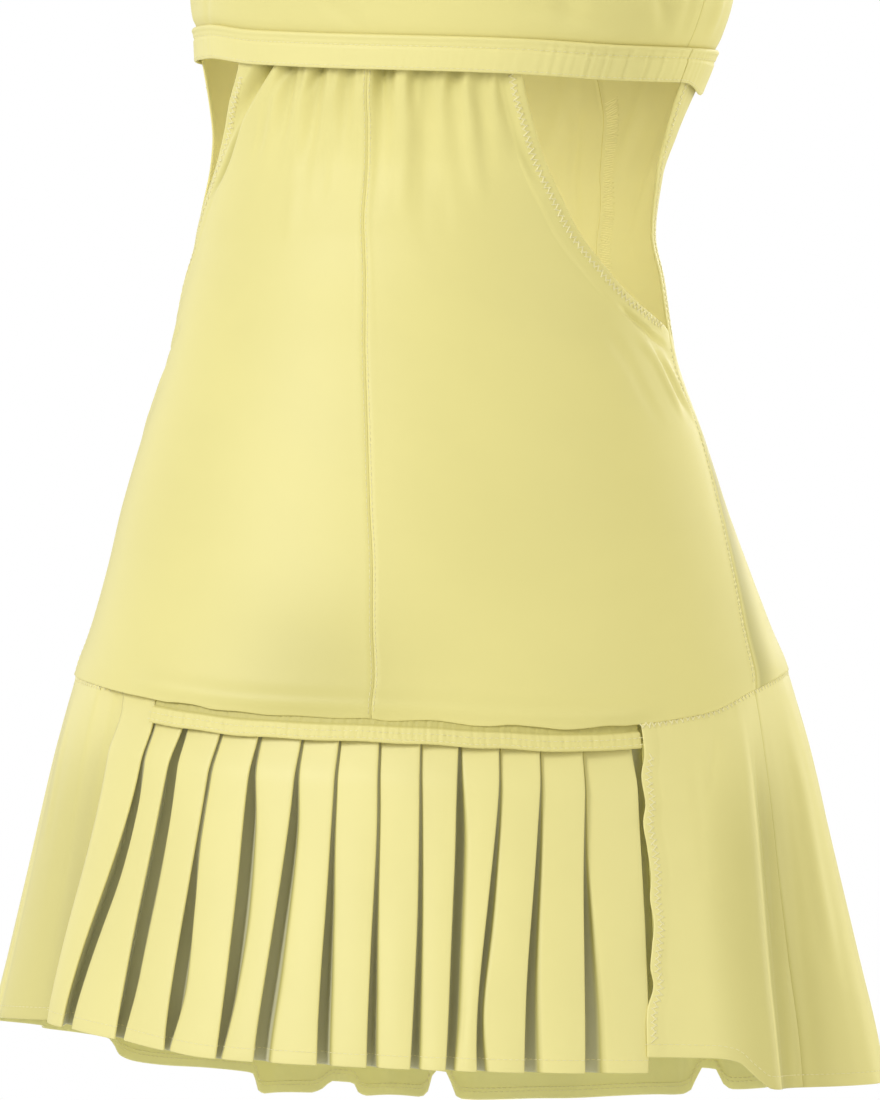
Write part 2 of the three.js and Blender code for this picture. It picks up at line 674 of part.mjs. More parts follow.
// The angle of a pleat's fold, part of the way down
function alongPleat(pleat, down) {
  const stations = [
    { down: 0, angle: pleat.top },
    { down: PLEAT_STATIONS.upper, angle: pleat.upper },
    { down: PLEAT_STATIONS.lower, angle: pleat.lower },
    { down: 1, angle: pleat.hem },
  ];
  return columnAt(stations, "down", "angle", down);
}

// How far the gap beside a pleat's fold stands open: it is shut at the seam
function pleatGap(pleat, down) {
  const stations = [
    { down: 0, gap: 0 },
    { down: PLEAT_STATIONS.upper, gap: pleat.gapUpper },
    { down: 1, gap: pleat.gapHem },
  ];
  return columnAt(stations, "down", "gap", down);
}

// The outline of one pleat's fold, as steps along the ring and outwards from the crest: round
// the crest, back under the face, round the valley and up across the gap to the next face
function pleatFold(pleat, down) {
  const radius = PLEAT.foldRadius;
  const turn = PLEAT.valleyRadius;
  const undercut = mix(PLEAT.undercut.top, PLEAT.undercut.hem, down);
  const depth = mix(PLEAT.depth.top, PLEAT.depth.hem, down);
  const crest = steps(PLEAT_CREST.steps).map((part) => {
    const at = THREE.MathUtils.degToRad(mix(PLEAT_CREST.from, PLEAT_CREST.to, part));
    return { along: radius * (Math.cos(at) - 1), out: radius * (Math.sin(at) - 1) };
  });
  const valley = [
    { along: -undercut, out: -depth },
    { along: -undercut - turn, out: -depth - turn },
    { along: -undercut, out: -depth - 2 * turn },
  ];
  const width = PLEAT.riseBeyondGap * pleatGap(pleat, down) + PLEAT.riseAtLeast;
  const floor = depth + 2 * turn;
  const rise = PLEAT_RISE.map(({ along, up }) => ({ along: along * width, out: (up - 1) * floor }));
  return pleat === PLEATS[PLEATS.length - 1] ? [...crest, ...valley] : [...crest, ...valley, ...rise];
}

// One row of the pleated panel: its edge on the wearer's right, then fold after fold
function pleatRow(down) {
  const freed = smoothStep((down - PLEAT.stitchedTo) / (PLEAT.freeFrom - PLEAT.stitchedTo));
  const stitched = PLEAT.stitchedIn * (1 - freed);
  const place = (angle, out) => {
    const top = waistSeam(angle) - PLEAT.topBelowSeam;
    return onRing(angle, mix(top, columnAt(PLEAT_HEM, "angle", "z", angle), down), out - stitched);
  };
  const height = mix(waistSeam(0), PLEAT_HEM[0].z, down);
  let from = { angle: alongPleat(PLEAT_PANEL_EDGE, down), out: -PLEAT_PANEL_EDGE.in };
  const points = [place(from.angle, from.out)];
  for (const pleat of PLEATS) {
    const crest = alongPleat(pleat, down);
    const perMillimetre = degreesPerMillimetre(crest, height);
    const fold = pleatFold(pleat, down).map(({ along, out }) => (
      { angle: crest + along * perMillimetre, out }
    ));
    const middleAngle = (from.angle + fold[0].angle) / 2;
    const middleOut = (from.out + fold[0].out) / 2;
    points.push(place(middleAngle, middleOut + PLEAT.faceBow * down));
    points.push(...fold.map(({ angle, out }) => place(angle, out)));
    from = fold[fold.length - 1];
  }
  return points;
}

function pleatPanel(name) {
  return wall(name, cloth.skirt, sheetOfRows(PLEAT_ROWS.map(pleatRow)), PLEAT_CLOTH);
}

// The front edge of the flounce on the wearer's left, which hangs free beside the last pleat
function flounceFrontEdge(down) {
  const stations = [
    { down: 0, angle: FLOUNCE_FRONT_EDGE.top },
    { down: PLEAT_STATIONS.upper, angle: FLOUNCE_FRONT_EDGE.upper },
    { down: 1, angle: FLOUNCE_FRONT_EDGE.hem },
  ];
  return columnAt(stations, "down", "angle", down);
}

// The end of the flounce on the wearer's right, hidden behind the first pleat
function flounceEnd(down) {
  return mix(FLOUNCE_END.top, FLOUNCE_END.hem, down);
}

// A point of the flounce: its folds swing out more and more towards the hem
function flounceSurface(angle, down) {
  const top = waistSeam(angle) - SEAM_GAP;
  const z = mix(top, columnAt(FLOUNCE_HEM, "angle", "z", angle), down);
  const fold = columnAt(FLUTES, "angle", "out", angle) * Math.max(0, down) ** FLOUNCE.swing;
  const tuck = FLOUNCE.tuckIn * smoothStep((angle - FLOUNCE.tuckFrom) / FLOUNCE.tuckOver);
  return onRing(angle, z, fold - FLOUNCE.topIn * (1 - down) - tuck);
}

function flounce(name, fromEdge, toEdge) {
  const count = Math.ceil((toEdge(1) - fromEdge(1)) / FLOUNCE_STEP);
  const rows = FLOUNCE_ROWS.map((down) => {
    const height = mix(SIDE_SEAM_END, FLOUNCE_HEM[0].z, down);
    return steps(count).map((part) => {
      const angle = betweenSeams(fromEdge(down), toEdge(down), part, height);
      return smoothPoint(flounceSurface, angle, down);
    });
  });
  return wall(name, cloth.skirt, sheetOfRows(rows), FLOUNCE_CLOTH);
}

const centreFront = () => 0;
const leftSideOfFront = (z) => frontSideEdge("left", z);
const rightSideOfFront = (z) => -frontSideEdge("right", z);
const leftSideOfBack = (z) => backSideEdge("left", z);
const rightSideOfBack = (z) => 360 - backSideEdge("right", z);
const leftBackSeam = (z) => 180 - backSeam(z);
const rightBackSeam = (z) => 180 + backSeam(z);
const flounceLeftSeam = () => FLOUNCE_SEAMS.left;
const flounceRightSeam = () => FLOUNCE_SEAMS.right;

const dress = new THREE.Group();
dress.add(
  bodice("bodice_front", 0, BODICE_FRONT),
  bodice("bodice_back", 180, BODICE_BACK),
  bandHalf("band_front", -BAND_SIDE_SEAM, BAND_SIDE_SEAM),
  bandHalf("band_back", BAND_SIDE_SEAM, 360 - BAND_SIDE_SEAM),
  bodyPanel("body_front_left", BODY_FRONT_COLUMNS, centreFront, leftSideOfFront),
  bodyPanel("body_front_right", BODY_FRONT_COLUMNS, rightSideOfFront, centreFront),
  bodyPanel("body_back_left", BACK_SIDE_COLUMNS, leftSideOfBack, leftBackSeam),
  bodyPanel("body_back_centre", BACK_CENTRE_COLUMNS, leftBackSeam, rightBackSeam),
  bodyPanel("body_back_right", BACK_SIDE_COLUMNS, rightBackSeam, rightSideOfBack),
  pleatStrip("pleat_strip"),
  pleatPanel("pleat_panel"),
  flounce("flounce_left", flounceFrontEdge, flounceLeftSeam),
  flounce("flounce_back", flounceLeftSeam, flounceRightSeam),
  flounce("flounce_right", flounceRightSeam, flounceEnd),
);

export default dress;
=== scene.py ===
# %% [markdown]
# # A tennis dress, filled out as if it were worn
#
# The real dress is cut from pale lemon sports cloth. A smooth sleeveless bodice meets a stitched band
# under the bust. Below it hangs a fitted body with a cut-out at each side of the waist, then a front
# panel of knife pleats, and a flared flounce round the sides and the back.
#
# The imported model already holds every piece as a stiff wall. This lesson keeps its frame, and puts a
# finer sheet of cloth in the place of each wall: the same form, with its creases, hems and sewing.

import math

import bpy
import numpy as np
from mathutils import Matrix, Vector


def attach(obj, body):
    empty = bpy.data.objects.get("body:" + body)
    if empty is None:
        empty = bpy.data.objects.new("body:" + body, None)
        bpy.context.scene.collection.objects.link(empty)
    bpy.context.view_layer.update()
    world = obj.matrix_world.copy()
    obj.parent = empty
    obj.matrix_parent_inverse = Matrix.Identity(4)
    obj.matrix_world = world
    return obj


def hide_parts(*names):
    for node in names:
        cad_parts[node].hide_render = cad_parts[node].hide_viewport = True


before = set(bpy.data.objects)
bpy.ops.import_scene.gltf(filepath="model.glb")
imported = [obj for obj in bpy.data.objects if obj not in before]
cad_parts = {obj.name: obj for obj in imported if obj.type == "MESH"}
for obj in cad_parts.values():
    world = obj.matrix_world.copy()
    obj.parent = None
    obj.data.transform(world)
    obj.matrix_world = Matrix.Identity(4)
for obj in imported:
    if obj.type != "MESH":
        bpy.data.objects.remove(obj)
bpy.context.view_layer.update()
print("pieces in the packed model:", sorted(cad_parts))

# %% [markdown]
# ## The camera
#
# The picture was taken from far off with a long lens, level with the dress and a little round to the
# wearer's left. The camera is made first, so that each new piece can be looked at in the right frame.

# %% Camera
METRE = 0.001
LONG_SIDE = 36.0
CAMERA = {"azimuth": 18.0, "distance": 3.0, "target": (0.00198, 0.00064, -0.5886), "half_height": 0.286}


def make_camera():
    turn = math.radians(CAMERA["azimuth"])
    target = Vector(CAMERA["target"])
    back = Vector((math.sin(turn), -math.cos(turn), 0.0))
    data = bpy.data.cameras.new("camera")
    data.sensor_width = LONG_SIDE
    data.lens = LONG_SIDE / 2 * CAMERA["distance"] / CAMERA["half_height"]
    camera = bpy.data.objects.new("camera", data)
    bpy.context.scene.collection.objects.link(camera)
    camera.location = target + back * CAMERA["distance"]
    camera.rotation_euler = (-back).to_track_quat("-Z", "Y").to_euler()
    bpy.context.scene.camera = camera
    return camera


camera = make_camera()
print(f"lens {camera.data.lens:.0f} mm, {CAMERA['distance']} m away")

# %% [markdown]
# ## The room that the dress fills
#
# Every piece lies on one stack of oval rings, as on a dressmaker's stand. A place on the stand is an
# angle round it, 0 at the centre front and 90 at the wearer's left, and a height in millimetres. A
# smooth curve through each column of a short table gives every size between its rows, so the stand
# can be fitted by hand and still has no flat spots.

# %% Smooth curves through short tables
def mix(start, end, part):
    return start + (end - start) * part


def smooth(part):
    """A soft step from 0 to 1."""
    held = np.clip(part, 0.0, 1.0)
    return held * held * (3 - 2 * held)


def hill(at):
    """A round hill, 1 high at 0 and flat at -1 and 1."""
    return (1 + np.cos(math.pi * np.clip(at, -1.0, 1.0))) / 2


def curve(rows, at, column=1):
    """A smooth curve through one column of a table against its first one, with no overshoot."""
    table = np.array(rows, float)
    places, values = table[:, 0], table[:, column]
    at = np.clip(at, places[0], places[-1])
    spans = np.diff(places)
    rises = np.diff(values) / spans
    product = rises[:-1] * rises[1:]
    total = np.where(product > 0, rises[:-1] + rises[1:], 1.0)
    inner = np.where(product > 0, 2 * product / total, 0.0)
    slopes = np.concatenate([rises[:1], inner, rises[-1:]])
    row = np.clip(np.searchsorted(places, at, side="right") - 1, 0, len(spans) - 1)
    t = (at - places[row]) / spans[row]
    start_pull = t * (1 - t) ** 2 * slopes[row] * spans[row]
    end_pull = t**2 * (1 - t) * slopes[row + 1] * spans[row]
    return mix(values[row], values[row + 1], smooth(t)) + start_pull - end_pull


# %% The rings: height, half width, half depth, centre across, centre back, turn of the front
RINGS = [
    (-900, 234.5, 163, -3.5, 0, 6),
    (-833, 225.5, 157, -3.5, 0, 6),
    (-802, 219.5, 153, -3.5, 0, 6),
    (-760, 211.5, 147, -3.5, 0, 6),
    (-698, 199.5, 139, -3.5, 0, 6),
    (-656, 189, 132, -3, 0, 6),
    (-625, 178, 124, -4, 0, 5),
    (-594, 168, 117, -6, 1, 4.5),
    (-563, 159, 111, -8, 1, 3.5),
    (-531, 149.5, 105, -8.5, 1, 2),
    (-490, 136, 98, -9, 1, 0),
    (-448, 128, 93, -7, 0, -2),
    (-427, 123.8, 90, -6.5, 0, -3.5),
    (-396, 123.3, 89, -1.5, 0, -5.5),
    (-375, 126.5, 91, 4, -1, -7.5),
    (-355, 133, 95, 8.5, -3, -9),
    (-334, 140.5, 100, 12, -4, -9),
    (-303, 148, 107, 15, -6, -9),
    (-255, 151, 115, 14, -8, -8),
    (-205, 149, 109, 11, -7, -7),
    (-150, 145, 94, 7, -4, -5),
    (-100, 141, 77, 4, -2, -3),
    (-60, 137, 60, 2, -1, -2),
    (-30, 134, 44, 1, 0, -1),
    (-14, 132, 31, 0, 0, 0),
    (-6, 131, 20, 0, 0, 0),
    (-1.5, 130, 9, 0, 0, 0),
    (0.3, 130, 4, 0, 0, 0),
    (0.5, 130, 0.7, 0, 0, 0),
]
HALF_WIDTH, HALF_DEPTH, ACROSS, BACKWARDS, TURN = range(1, 6)


def on_ring(angle, z, out=0.0):
    """Points of the stand, in millimetres, moved outwards by out."""
    angle, z, out = np.broadcast_arrays(np.asarray(angle, float), z, out)
    around = np.radians(angle)
    turn = np.radians(curve(RINGS, z, TURN))
    across = (curve(RINGS, z, HALF_WIDTH) + out) * np.sin(around)
    forward = (curve(RINGS, z, HALF_DEPTH) + out) * np.cos(around)
    x = curve(RINGS, z, ACROSS) + across * np.cos(turn) + forward * np.sin(turn)
    y = curve(RINGS, z, BACKWARDS) + across * np.sin(turn) - forward * np.cos(turn)
    return np.stack([x, y, z], axis=-1)


def degrees_per_mm(angle, z):
    """How many degrees one millimetre takes along the ring."""
    around = np.radians(angle)
    width = curve(RINGS, z, HALF_WIDTH) * np.cos(around)
    depth = curve(RINGS, z, HALF_DEPTH) * np.sin(around)
    return np.degrees(1 / np.hypot(width, depth))


def signed(angle):
    """The same angle between -180 and 180."""
    return angle - 360 * np.round(np.asarray(angle, float) / 360)


print("round the waist:", round(2 * math.pi * math.hypot(123.3, 89) / math.sqrt(2)), "mm")

# %% [markdown]
# ## From a grid of points to a sheet of cloth
#
# A sheet is a grid of points on its outer face. Its inner face is the same grid moved in along the
# cloth's own directions by the thickness, and a narrow rim closes the edge all round. A hem is where
# the cloth is turned up, so it is simply thicker there. Blender's Solidify would do the same with one
# thickness; here each point has its own. The corners of the rim are pinched in a little, because a
# folded edge of cloth is round.

# %% Sheets of cloth
CLOTH = {"body": 0.8, "band": 1.3, "skirt": 0.7, "strip": 0.8}
PINCH = {"share": 0.32, "reach": 0.5}
SAME_POINT = 1e-3
NO_LENGTH = 1e-12


def unit(vectors):
    return vectors / np.maximum(np.linalg.norm(vectors, axis=-1, keepdims=True), NO_LENGTH)


def outward_directions(points):
    """The direction out of a grid whose rows run down and whose columns run with the angle."""
    return unit(np.cross(np.gradient(points, axis=0), np.gradient(points, axis=1)))


def from_edges(points, sides):
    """How far each point of a grid lies from the nearest of its named edges, along the cloth."""
    rows = np.linalg.norm(np.diff(points, axis=0), axis=2)
    columns = np.linalg.norm(np.diff(points, axis=1), axis=2)
    down = np.concatenate([np.zeros((1, points.shape[1])), np.cumsum(rows, axis=0)])
    along = np.concatenate([np.zeros((points.shape[0], 1)), np.cumsum(columns, axis=1)], axis=1)
    reach = {"top": down, "bottom": down[-1:] - down, "start": along, "end": along[:, -1:] - along}
    return np.minimum.reduce([reach[side] for side in sides])


def sheet_of(points, thickness, rounded=1.0, shade=0.0):
    """A sheet from a grid of points in millimetres, with a flat map of it in metres. Its edges are
    rounded where rounded is 1, and left for sewing to another sheet where it is 0. shade is painted
    shade from 0 to 1: where it is 1 the cloth lies deep in a fold, and its colour is darkened for the shade
    there."""
    rows, columns = points.shape[:2]
    index = np.arange(rows * columns).reshape(rows, columns)
    quads = np.stack([index[:-1, :-1], index[1:, :-1], index[1:, 1:], index[:-1, 1:]], axis=-1)
    down = np.concatenate([[0], np.cumsum(np.linalg.norm(np.diff(points, axis=0), axis=2).mean(1))])
    along = np.concatenate([[0], np.cumsum(np.linalg.norm(np.diff(points, axis=1), axis=2).mean(0))])
    flat = np.stack(np.broadcast_arrays(along[None, :], -down[:, None]), axis=-1) * METRE
    to_edge = from_edges(points, ("top", "bottom", "start", "end"))
    near = np.clip(1 - to_edge / PINCH["reach"], 0, 1) * rounded
    thick = np.broadcast_to(thickness, (rows, columns))
    return {
        "points": points.reshape(-1, 3),
        "directions": outward_directions(points).reshape(-1, 3),
        "flat": flat.reshape(-1, 2),
        "thick": thick.reshape(-1),
        "near": near.reshape(-1),
        "shade": np.broadcast_to(shade, (rows, columns)).reshape(-1),
        "quads": quads.reshape(-1, 4),
    }


def join(first, second):
    """Two sheets as one, sewn where their points share a place."""
    both = {key: np.concatenate([first[key], second[key]]) for key in first if key != "quads"}
    both["quads"] = np.concatenate([first["quads"], second["quads"] + len(first["points"])])
    places = np.round(both["points"] / SAME_POINT).astype(np.int64)
    _, kept, number = np.unique(places, axis=0, return_index=True, return_inverse=True)
    number = number.reshape(-1)
    total = np.zeros((len(kept), 3))
    np.add.at(total, number, both["directions"])
    joined = {key: both[key][kept] for key in both if key != "quads"}
    joined["directions"] = unit(total)
    joined["quads"] = number[both["quads"]]
    return joined


def open_edges(quads):
    """The edges of a sheet that belong to one quad only, in the direction that the quad runs."""
    starts = quads.reshape(-1)
    ends = np.roll(quads, -1, axis=1).reshape(-1)
    size = int(quads.max()) + 1
    forwards = starts.astype(np.int64) * size + ends
    backwards = ends.astype(np.int64) * size + starts
    alone = ~np.isin(forwards, backwards)
    return starts[alone], ends[alone]


def cloth_piece(name, sheet, outside, inside):
    """A closed shell of cloth as one object: its two faces and the rim round them."""
    pinch = (PINCH["share"] * sheet["thick"] * sheet["near"])[:, None]
    outer = sheet["points"] - sheet["directions"] * pinch
    inner = sheet["points"] - sheet["directions"] * (sheet["thick"][:, None] - pinch)
    count = len(outer)
    quads = sheet["quads"]
    start, end = open_edges(quads)
    rim = np.stack([end, start, start + count, end + count], axis=1)
    faces = np.concatenate([quads, quads[:, ::-1] + count, rim])
    mesh = bpy.data.meshes.new(f"{name}_cloth")
    mesh.from_pydata((np.concatenate([outer, inner]) * METRE).tolist(), [], faces.tolist())
    for material in (outside, inside):
        mesh.materials.append(material)
    sides = np.zeros(len(faces), np.int32)
    sides[len(quads):2 * len(quads)] = 1
    mesh.polygons.foreach_set("material_index", sides)
    mesh.polygons.foreach_set("use_smooth", np.ones(len(faces), bool))
    corners = np.zeros(len(mesh.loops), np.int32)
    mesh.loops.foreach_get("vertex_index", corners)
    flat = mesh.uv_layers.new(name="cloth")
    flat.data.foreach_set("uv", sheet["flat"][corners % count].astype(np.float32).ravel())
    shade = mesh.attributes.new("shade", "FLOAT", "POINT")
    shade.data.foreach_set("value", np.tile(sheet["shade"], 2).astype(np.float32))
    mesh.update()
    piece = bpy.data.objects.new(f"{name}_cloth", mesh)
    bpy.context.scene.collection.objects.link(piece)
    print(f"{name}: {2 * len(faces)} triangles")
    return piece


# %% Spacing of a grid
LIP = np.array([0.0, 0.12, 0.35, 0.8])


def spread(length, spacing):
    """Parts from 0 to 1 over a length in millimetres, evenly spaced but close at both ends."""
    count = max(2, round((length - 2 * LIP[-1]) / spacing))
    middle = np.linspace(LIP[-1], length - LIP[-1], count + 1)
    return np.concatenate([LIP[:-1], middle, length - LIP[-2::-1]]) / length


print("a 100 mm edge at 2 mm:", len(spread(100, 2)), "points")

# %% [markdown]
# ## Materials written as sums
#
# A shader is arithmetic on values that change over a surface. The small class below wraps a node's
# output, so that an expression such as 1 - mask * 0.2 adds its own Math nodes and the line in the
# script reads like the sum that it is. Any other node comes from one method, which sets the node's
# own settings first and then its sockets. A Mix node uses the same names for numbers and for colours,
# so its colour sockets are found by their places.

# %% Shader maths
MIX_COLOURS, MIX_RESULT = (6, 7), 2


class Value:
    """An output of a shader node, with the arithmetic that this dress needs."""

    def __init__(self, tree, socket):
        self.tree = tree
        self.socket = socket

    def node(self, kind, settings=None, output=0, **sockets):
        made = self.tree.nodes.new(kind)
        for name, setting in (settings or {}).items():
            setattr(made, name, setting)
        for name, value in sockets.items():
            place = int(name[1:]) if name[0] == "n" and name[1:].isdigit() else name.replace("_", " ")
            if isinstance(value, Value):
                self.tree.links.new(value.socket, made.inputs[place])
            else:
                made.inputs[place].default_value = value
        return Value(self.tree, made.outputs[output])

    def maths(self, operation, first, second=0.0):
        return self.node("ShaderNodeMath", {"operation": operation}, n0=first, n1=second)

    def __add__(self, other):
        return self.maths("ADD", self, other)

    def __mul__(self, other):
        return self.maths("MULTIPLY", self, other)

    def __sub__(self, other):
        return self.maths("SUBTRACT", self, other)

    def __rsub__(self, other):
        return self.maths("SUBTRACT", other, self)

    def __pow__(self, other):
        return self.maths("POWER", self, other)

    __radd__ = __add__
    __rmul__ = __mul__

    def wave(self):
        """A smooth wave from 0 to 1 of a value that counts its turns."""
        return self.maths("SINE", self * (2 * math.pi)) * 0.5 + 0.5

    def between(self, low, high):
        """0 where this value is under low, 1 over high, and soft between."""
        settings = {"interpolation_type": "SMOOTHSTEP"}
        return self.node("ShaderNodeMapRange", settings, Value=self, From_Min=low, From_Max=high)

    def blend(self, first, second):
        """One colour where this value is 0 and another where it is 1."""
        made = self.tree.nodes.new("ShaderNodeMix")
        made.data_type = "RGBA"
        self.tree.links.new(self.socket, made.inputs["Factor"])
        for place, colour in zip(MIX_COLOURS, (first, second)):
            if isinstance(colour, Value):
                self.tree.links.new(colour.socket, made.inputs[place])
            else:
                made.inputs[place].default_value = (*colour, 1.0)
        return Value(self.tree, made.outputs[MIX_RESULT])


def new_material(name):
    """An empty material with its shader, and the start of its sums."""
    material = bpy.data.materials.new(name)
    material.use_nodes = True
    tree = material.node_tree
    shader = next(node for node in tree.nodes if node.type == "BSDF_PRINCIPLED")
    return material, shader, Value(tree, None)


def feed(tree_start, shader, **sockets):
    for name, value in sockets.items():
        tree_start.tree.links.new(value.socket, shader.inputs[name.replace("_", " ")])


# %% [markdown]
# ## The cloth
#
# The dress is a smooth knit with a soft satin face. Its threads are a third of a millimetre apart, so
# they only just break up the light: a fine rib runs along the cloth, crossed by finer courses, both as
# bump. Broad, very faint clouds of tone and of gloss keep a large panel from looking like plastic. The
# back of the cloth is a little duller and greyer, so the inner faces get a material of their own. The
# flounce hangs free and some light comes through it, so its inner face gets painted light: a lighter
# copy of that colour. Shade deep in a fold is painted too. Each sheet carries its own painted shade
# from 0 to 1 as an attribute: up to a half the material moves to a darker painted-shade lemon, and from
# there to the grey green painted shade of a closed fold.

# %% The cloth's materials
LEMON = (0.800, 0.722, 0.262)
LEMON_LIGHT = (0.830, 0.752, 0.290)
LEMON_BACK = (0.745, 0.690, 0.325)
# Painted light: a lighter copy of the inner cloth colour for the flounce, standing for light through it.
LEMON_BACK_PAINTED_LIGHT = (0.880, 0.840, 0.345)
# Painted shade tones, used by the shade attribute: a darker lemon, and a grey green for the shade of a
# closed fold.
LEMON_PAINTED_SHADE = (0.490, 0.440, 0.118)
LEMON_PAINTED_FOLD_SHADE = (0.600, 0.580, 0.345)
PAINTED_SHADE_SPLIT = 0.5
THREAD = (0.90, 0.83, 0.43)
WEAVE = {"ribs": 2600.0, "courses": 2200.0}
CLOTH_CLOUDS = {"Scale": 14.0, "Detail": 3.0}
CLOTH_GRAIN = {"Scale": 900.0, "Detail": 2.0}
CLOTH_LOOK = {
    "cloud": 0.012, "clouds_between": (0.3, 0.7), "rib_high": 0.6, "course_high": 0.4, "grain_high": 0.8,
    "gloss_varies": 0.06, "bump": 0.12, "bump_high": 0.00012, "sheen_roughness": 0.4, "specular": 0.35,
}
THREAD_FIBRES = {"Scale": 1800.0, "Detail": 2.0}
THREAD_LOOK = {"darkest": 0.9, "bump": 0.3, "bump_high": 0.0001, "roughness": 0.55, "sheen": 0.2}


def cloth_material(name, colour, roughness, sheen, ribs=1.0):
    """Satin-faced sports cloth, woven along its own flat map."""
    material, shader, start = new_material(name)
    flat = start.node("ShaderNodeUVMap", {"uv_map": "cloth"})
    split = start.node("ShaderNodeSeparateXYZ", n0=flat)
    down = Value(start.tree, split.socket.node.outputs[1])
    clouds = start.node("ShaderNodeTexNoise", {"noise_dimensions": "2D"}, Vector=flat, **CLOTH_CLOUDS)
    grain = start.node("ShaderNodeTexNoise", {"noise_dimensions": "2D"}, Vector=flat, **CLOTH_GRAIN)
    rib = (split * WEAVE["ribs"]).wave()
    course = (down * WEAVE["courses"]).wave()
    height = rib * (CLOTH_LOOK["rib_high"] * ribs) + course * CLOTH_LOOK["course_high"]
    height = height + grain * CLOTH_LOOK["grain_high"]
    dark = tuple(part * (1 - CLOTH_LOOK["cloud"]) for part in colour)
    light = tuple(min(1.0, part * (1 + CLOTH_LOOK["cloud"])) for part in colour)
    # Painted shade: the sheet's shade attribute moves the base colour to a darker lemon up to the split, and
    # on to a grey green for a closed fold.
    shade = start.node("ShaderNodeAttribute", {"attribute_name": "shade"}, output=2)
    open_shade = start.node("ShaderNodeMapRange", Value=shade, From_Min=0.0, From_Max=PAINTED_SHADE_SPLIT)
    fold_shade = start.node("ShaderNodeMapRange", Value=shade, From_Min=PAINTED_SHADE_SPLIT, From_Max=1.0)
    clouded = clouds.between(*CLOTH_LOOK["clouds_between"]).blend(dark, light)
    tone = open_shade.blend(clouded, LEMON_PAINTED_SHADE)
    tone = fold_shade.blend(tone, LEMON_PAINTED_FOLD_SHADE)
    gloss = roughness + (clouds - 0.5) * CLOTH_LOOK["gloss_varies"]
    gloss = gloss + (grain - 0.5) * CLOTH_LOOK["gloss_varies"]
    bump = start.node("ShaderNodeBump", Height=height, Strength=CLOTH_LOOK["bump"],
                      Distance=CLOTH_LOOK["bump_high"])
    feed(start, shader, Base_Color=tone, Roughness=gloss, Normal=bump)
    shader.inputs["Sheen Weight"].default_value = sheen
    shader.inputs["Sheen Roughness"].default_value = CLOTH_LOOK["sheen_roughness"]
    shader.inputs["Specular IOR Level"].default_value = CLOTH_LOOK["specular"]
    return material


def thread_material(name, colour):
    """Sewing thread, twisted along its length."""
    material, shader, start = new_material(name)
    where = start.node("ShaderNodeTexCoord", output=3)
    fibres = start.node("ShaderNodeTexNoise", Vector=where, **THREAD_FIBRES)
    dark = tuple(part * THREAD_LOOK["darkest"] for part in colour)
    bump = start.node("ShaderNodeBump", Height=fibres, Strength=THREAD_LOOK["bump"],
                      Distance=THREAD_LOOK["bump_high"])
    feed(start, shader, Base_Color=fibres.blend(dark, colour), Normal=bump)
    shader.inputs["Roughness"].default_value = THREAD_LOOK["roughness"]
    shader.inputs["Sheen Weight"].default_value = THREAD_LOOK["sheen"]
    return material


body_cloth = cloth_material("body_cloth", LEMON, 0.50, 0.12)
bodice_cloth = cloth_material("bodice_cloth", LEMON, 0.50, 0.12)
band_cloth = cloth_material("band_cloth", LEMON_LIGHT, 0.56, 0.12, ribs=2.0)
skirt_cloth = cloth_material("skirt_cloth", LEMON_LIGHT, 0.48, 0.12)
strip_cloth = cloth_material("strip_cloth", LEMON, 0.58, 0.10)
inner_cloth = cloth_material("inner_cloth", LEMON_BACK, 0.66, 0.05)
# Painted light on the flounce's inner face, lighter than the other inner faces.
skirt_inner_painted_light_cloth = cloth_material("skirt_inner_painted_light_cloth", LEMON_BACK_PAINTED_LIGHT, 0.66, 0.05)
thread = thread_material("thread", THREAD)
print("materials:", [material.name for material in bpy.data.materials])

# %% [markdown]
# ## Where the seams run
#
# The band's top edge and the seam of the flounce are heights against the angle round the dress. The
# cut-outs' edges are angles against the height, because they are steep. All the pieces read the same
# tables, so two edges that are sewn together lie together.

# %% Seams, in degrees round the dress and millimetres of height
SIDE_TOP = -339
SIDE_SEAM_END = -659
CUTOUT_TIP = -481
BAND_TOP = [
    (-180, -322), (-90, -315), (-50, -317), (-30, -323), (0, -329), (34, -333), (60, -335.5),
    (90, -334), (135, -329), (180, -322),
]
WAIST_SEAM = [
    (-180, -650), (-110, -650), (-66, -656), (-40, -664), (-20, -670), (5, -673), (32, -677),
    (54, -671), (70, -659), (90, -651), (125, -649), (180, -650),
]
FRONT_SIDE_EDGE = [
    (-659, 70, 83), (-634, 74, 84), (-599, 80.5, 85), (-563, 87.5, 86), (-524, 92, 87),
    (-481, 92, 86), (-472, 82.5, 80.5), (-462, 73.5, 76), (-450, 66.5, 71.5), (-437, 61.3, 67),
    (-423, 56.6, 62.5), (-409, 52, 58), (-391, 46, 52), (-372, 41, 45), (-352, 36.5, 38),
    (-339, 34, 35.5),
]
CENTRE_SEAM = [
    (-670, -0.6), (-624, -0.2), (-584, 0.3), (-538, 0.8), (-503, 1.1), (-462, 1.3), (-412, 1.2),
    (-371, 0.4), (-339, 0.1),
]
CUTOUT_BACK_EDGE = [
    (-481, 92, 86), (-462, 92, 81.5), (-450, 92.5, 80), (-409, 93, 76), (-379, 90, 73),
    (-339, 86, 71),
]
BACK_SEAM = [(-659, 28), (-560, 28), (-524, 30), (-480, 33), (-425, 34), (-380, 25), (-339, 13)]
LEFT, RIGHT = 1, 2
SEAM_GAP = 0.12


def band_top(angle):
    return curve(BAND_TOP, signed(angle))


def waist_seam(angle):
    return curve(WAIST_SEAM, signed(angle))


def front_side_edge(side, z):
    return curve(FRONT_SIDE_EDGE, z, side)


def back_side_edge(side, z):
    cutout = curve(CUTOUT_BACK_EDGE, z, side)
    return np.where(np.asarray(z) > CUTOUT_TIP, cutout, front_side_edge(side, z))


def centre_seam(z):
    return curve(CENTRE_SEAM, z)


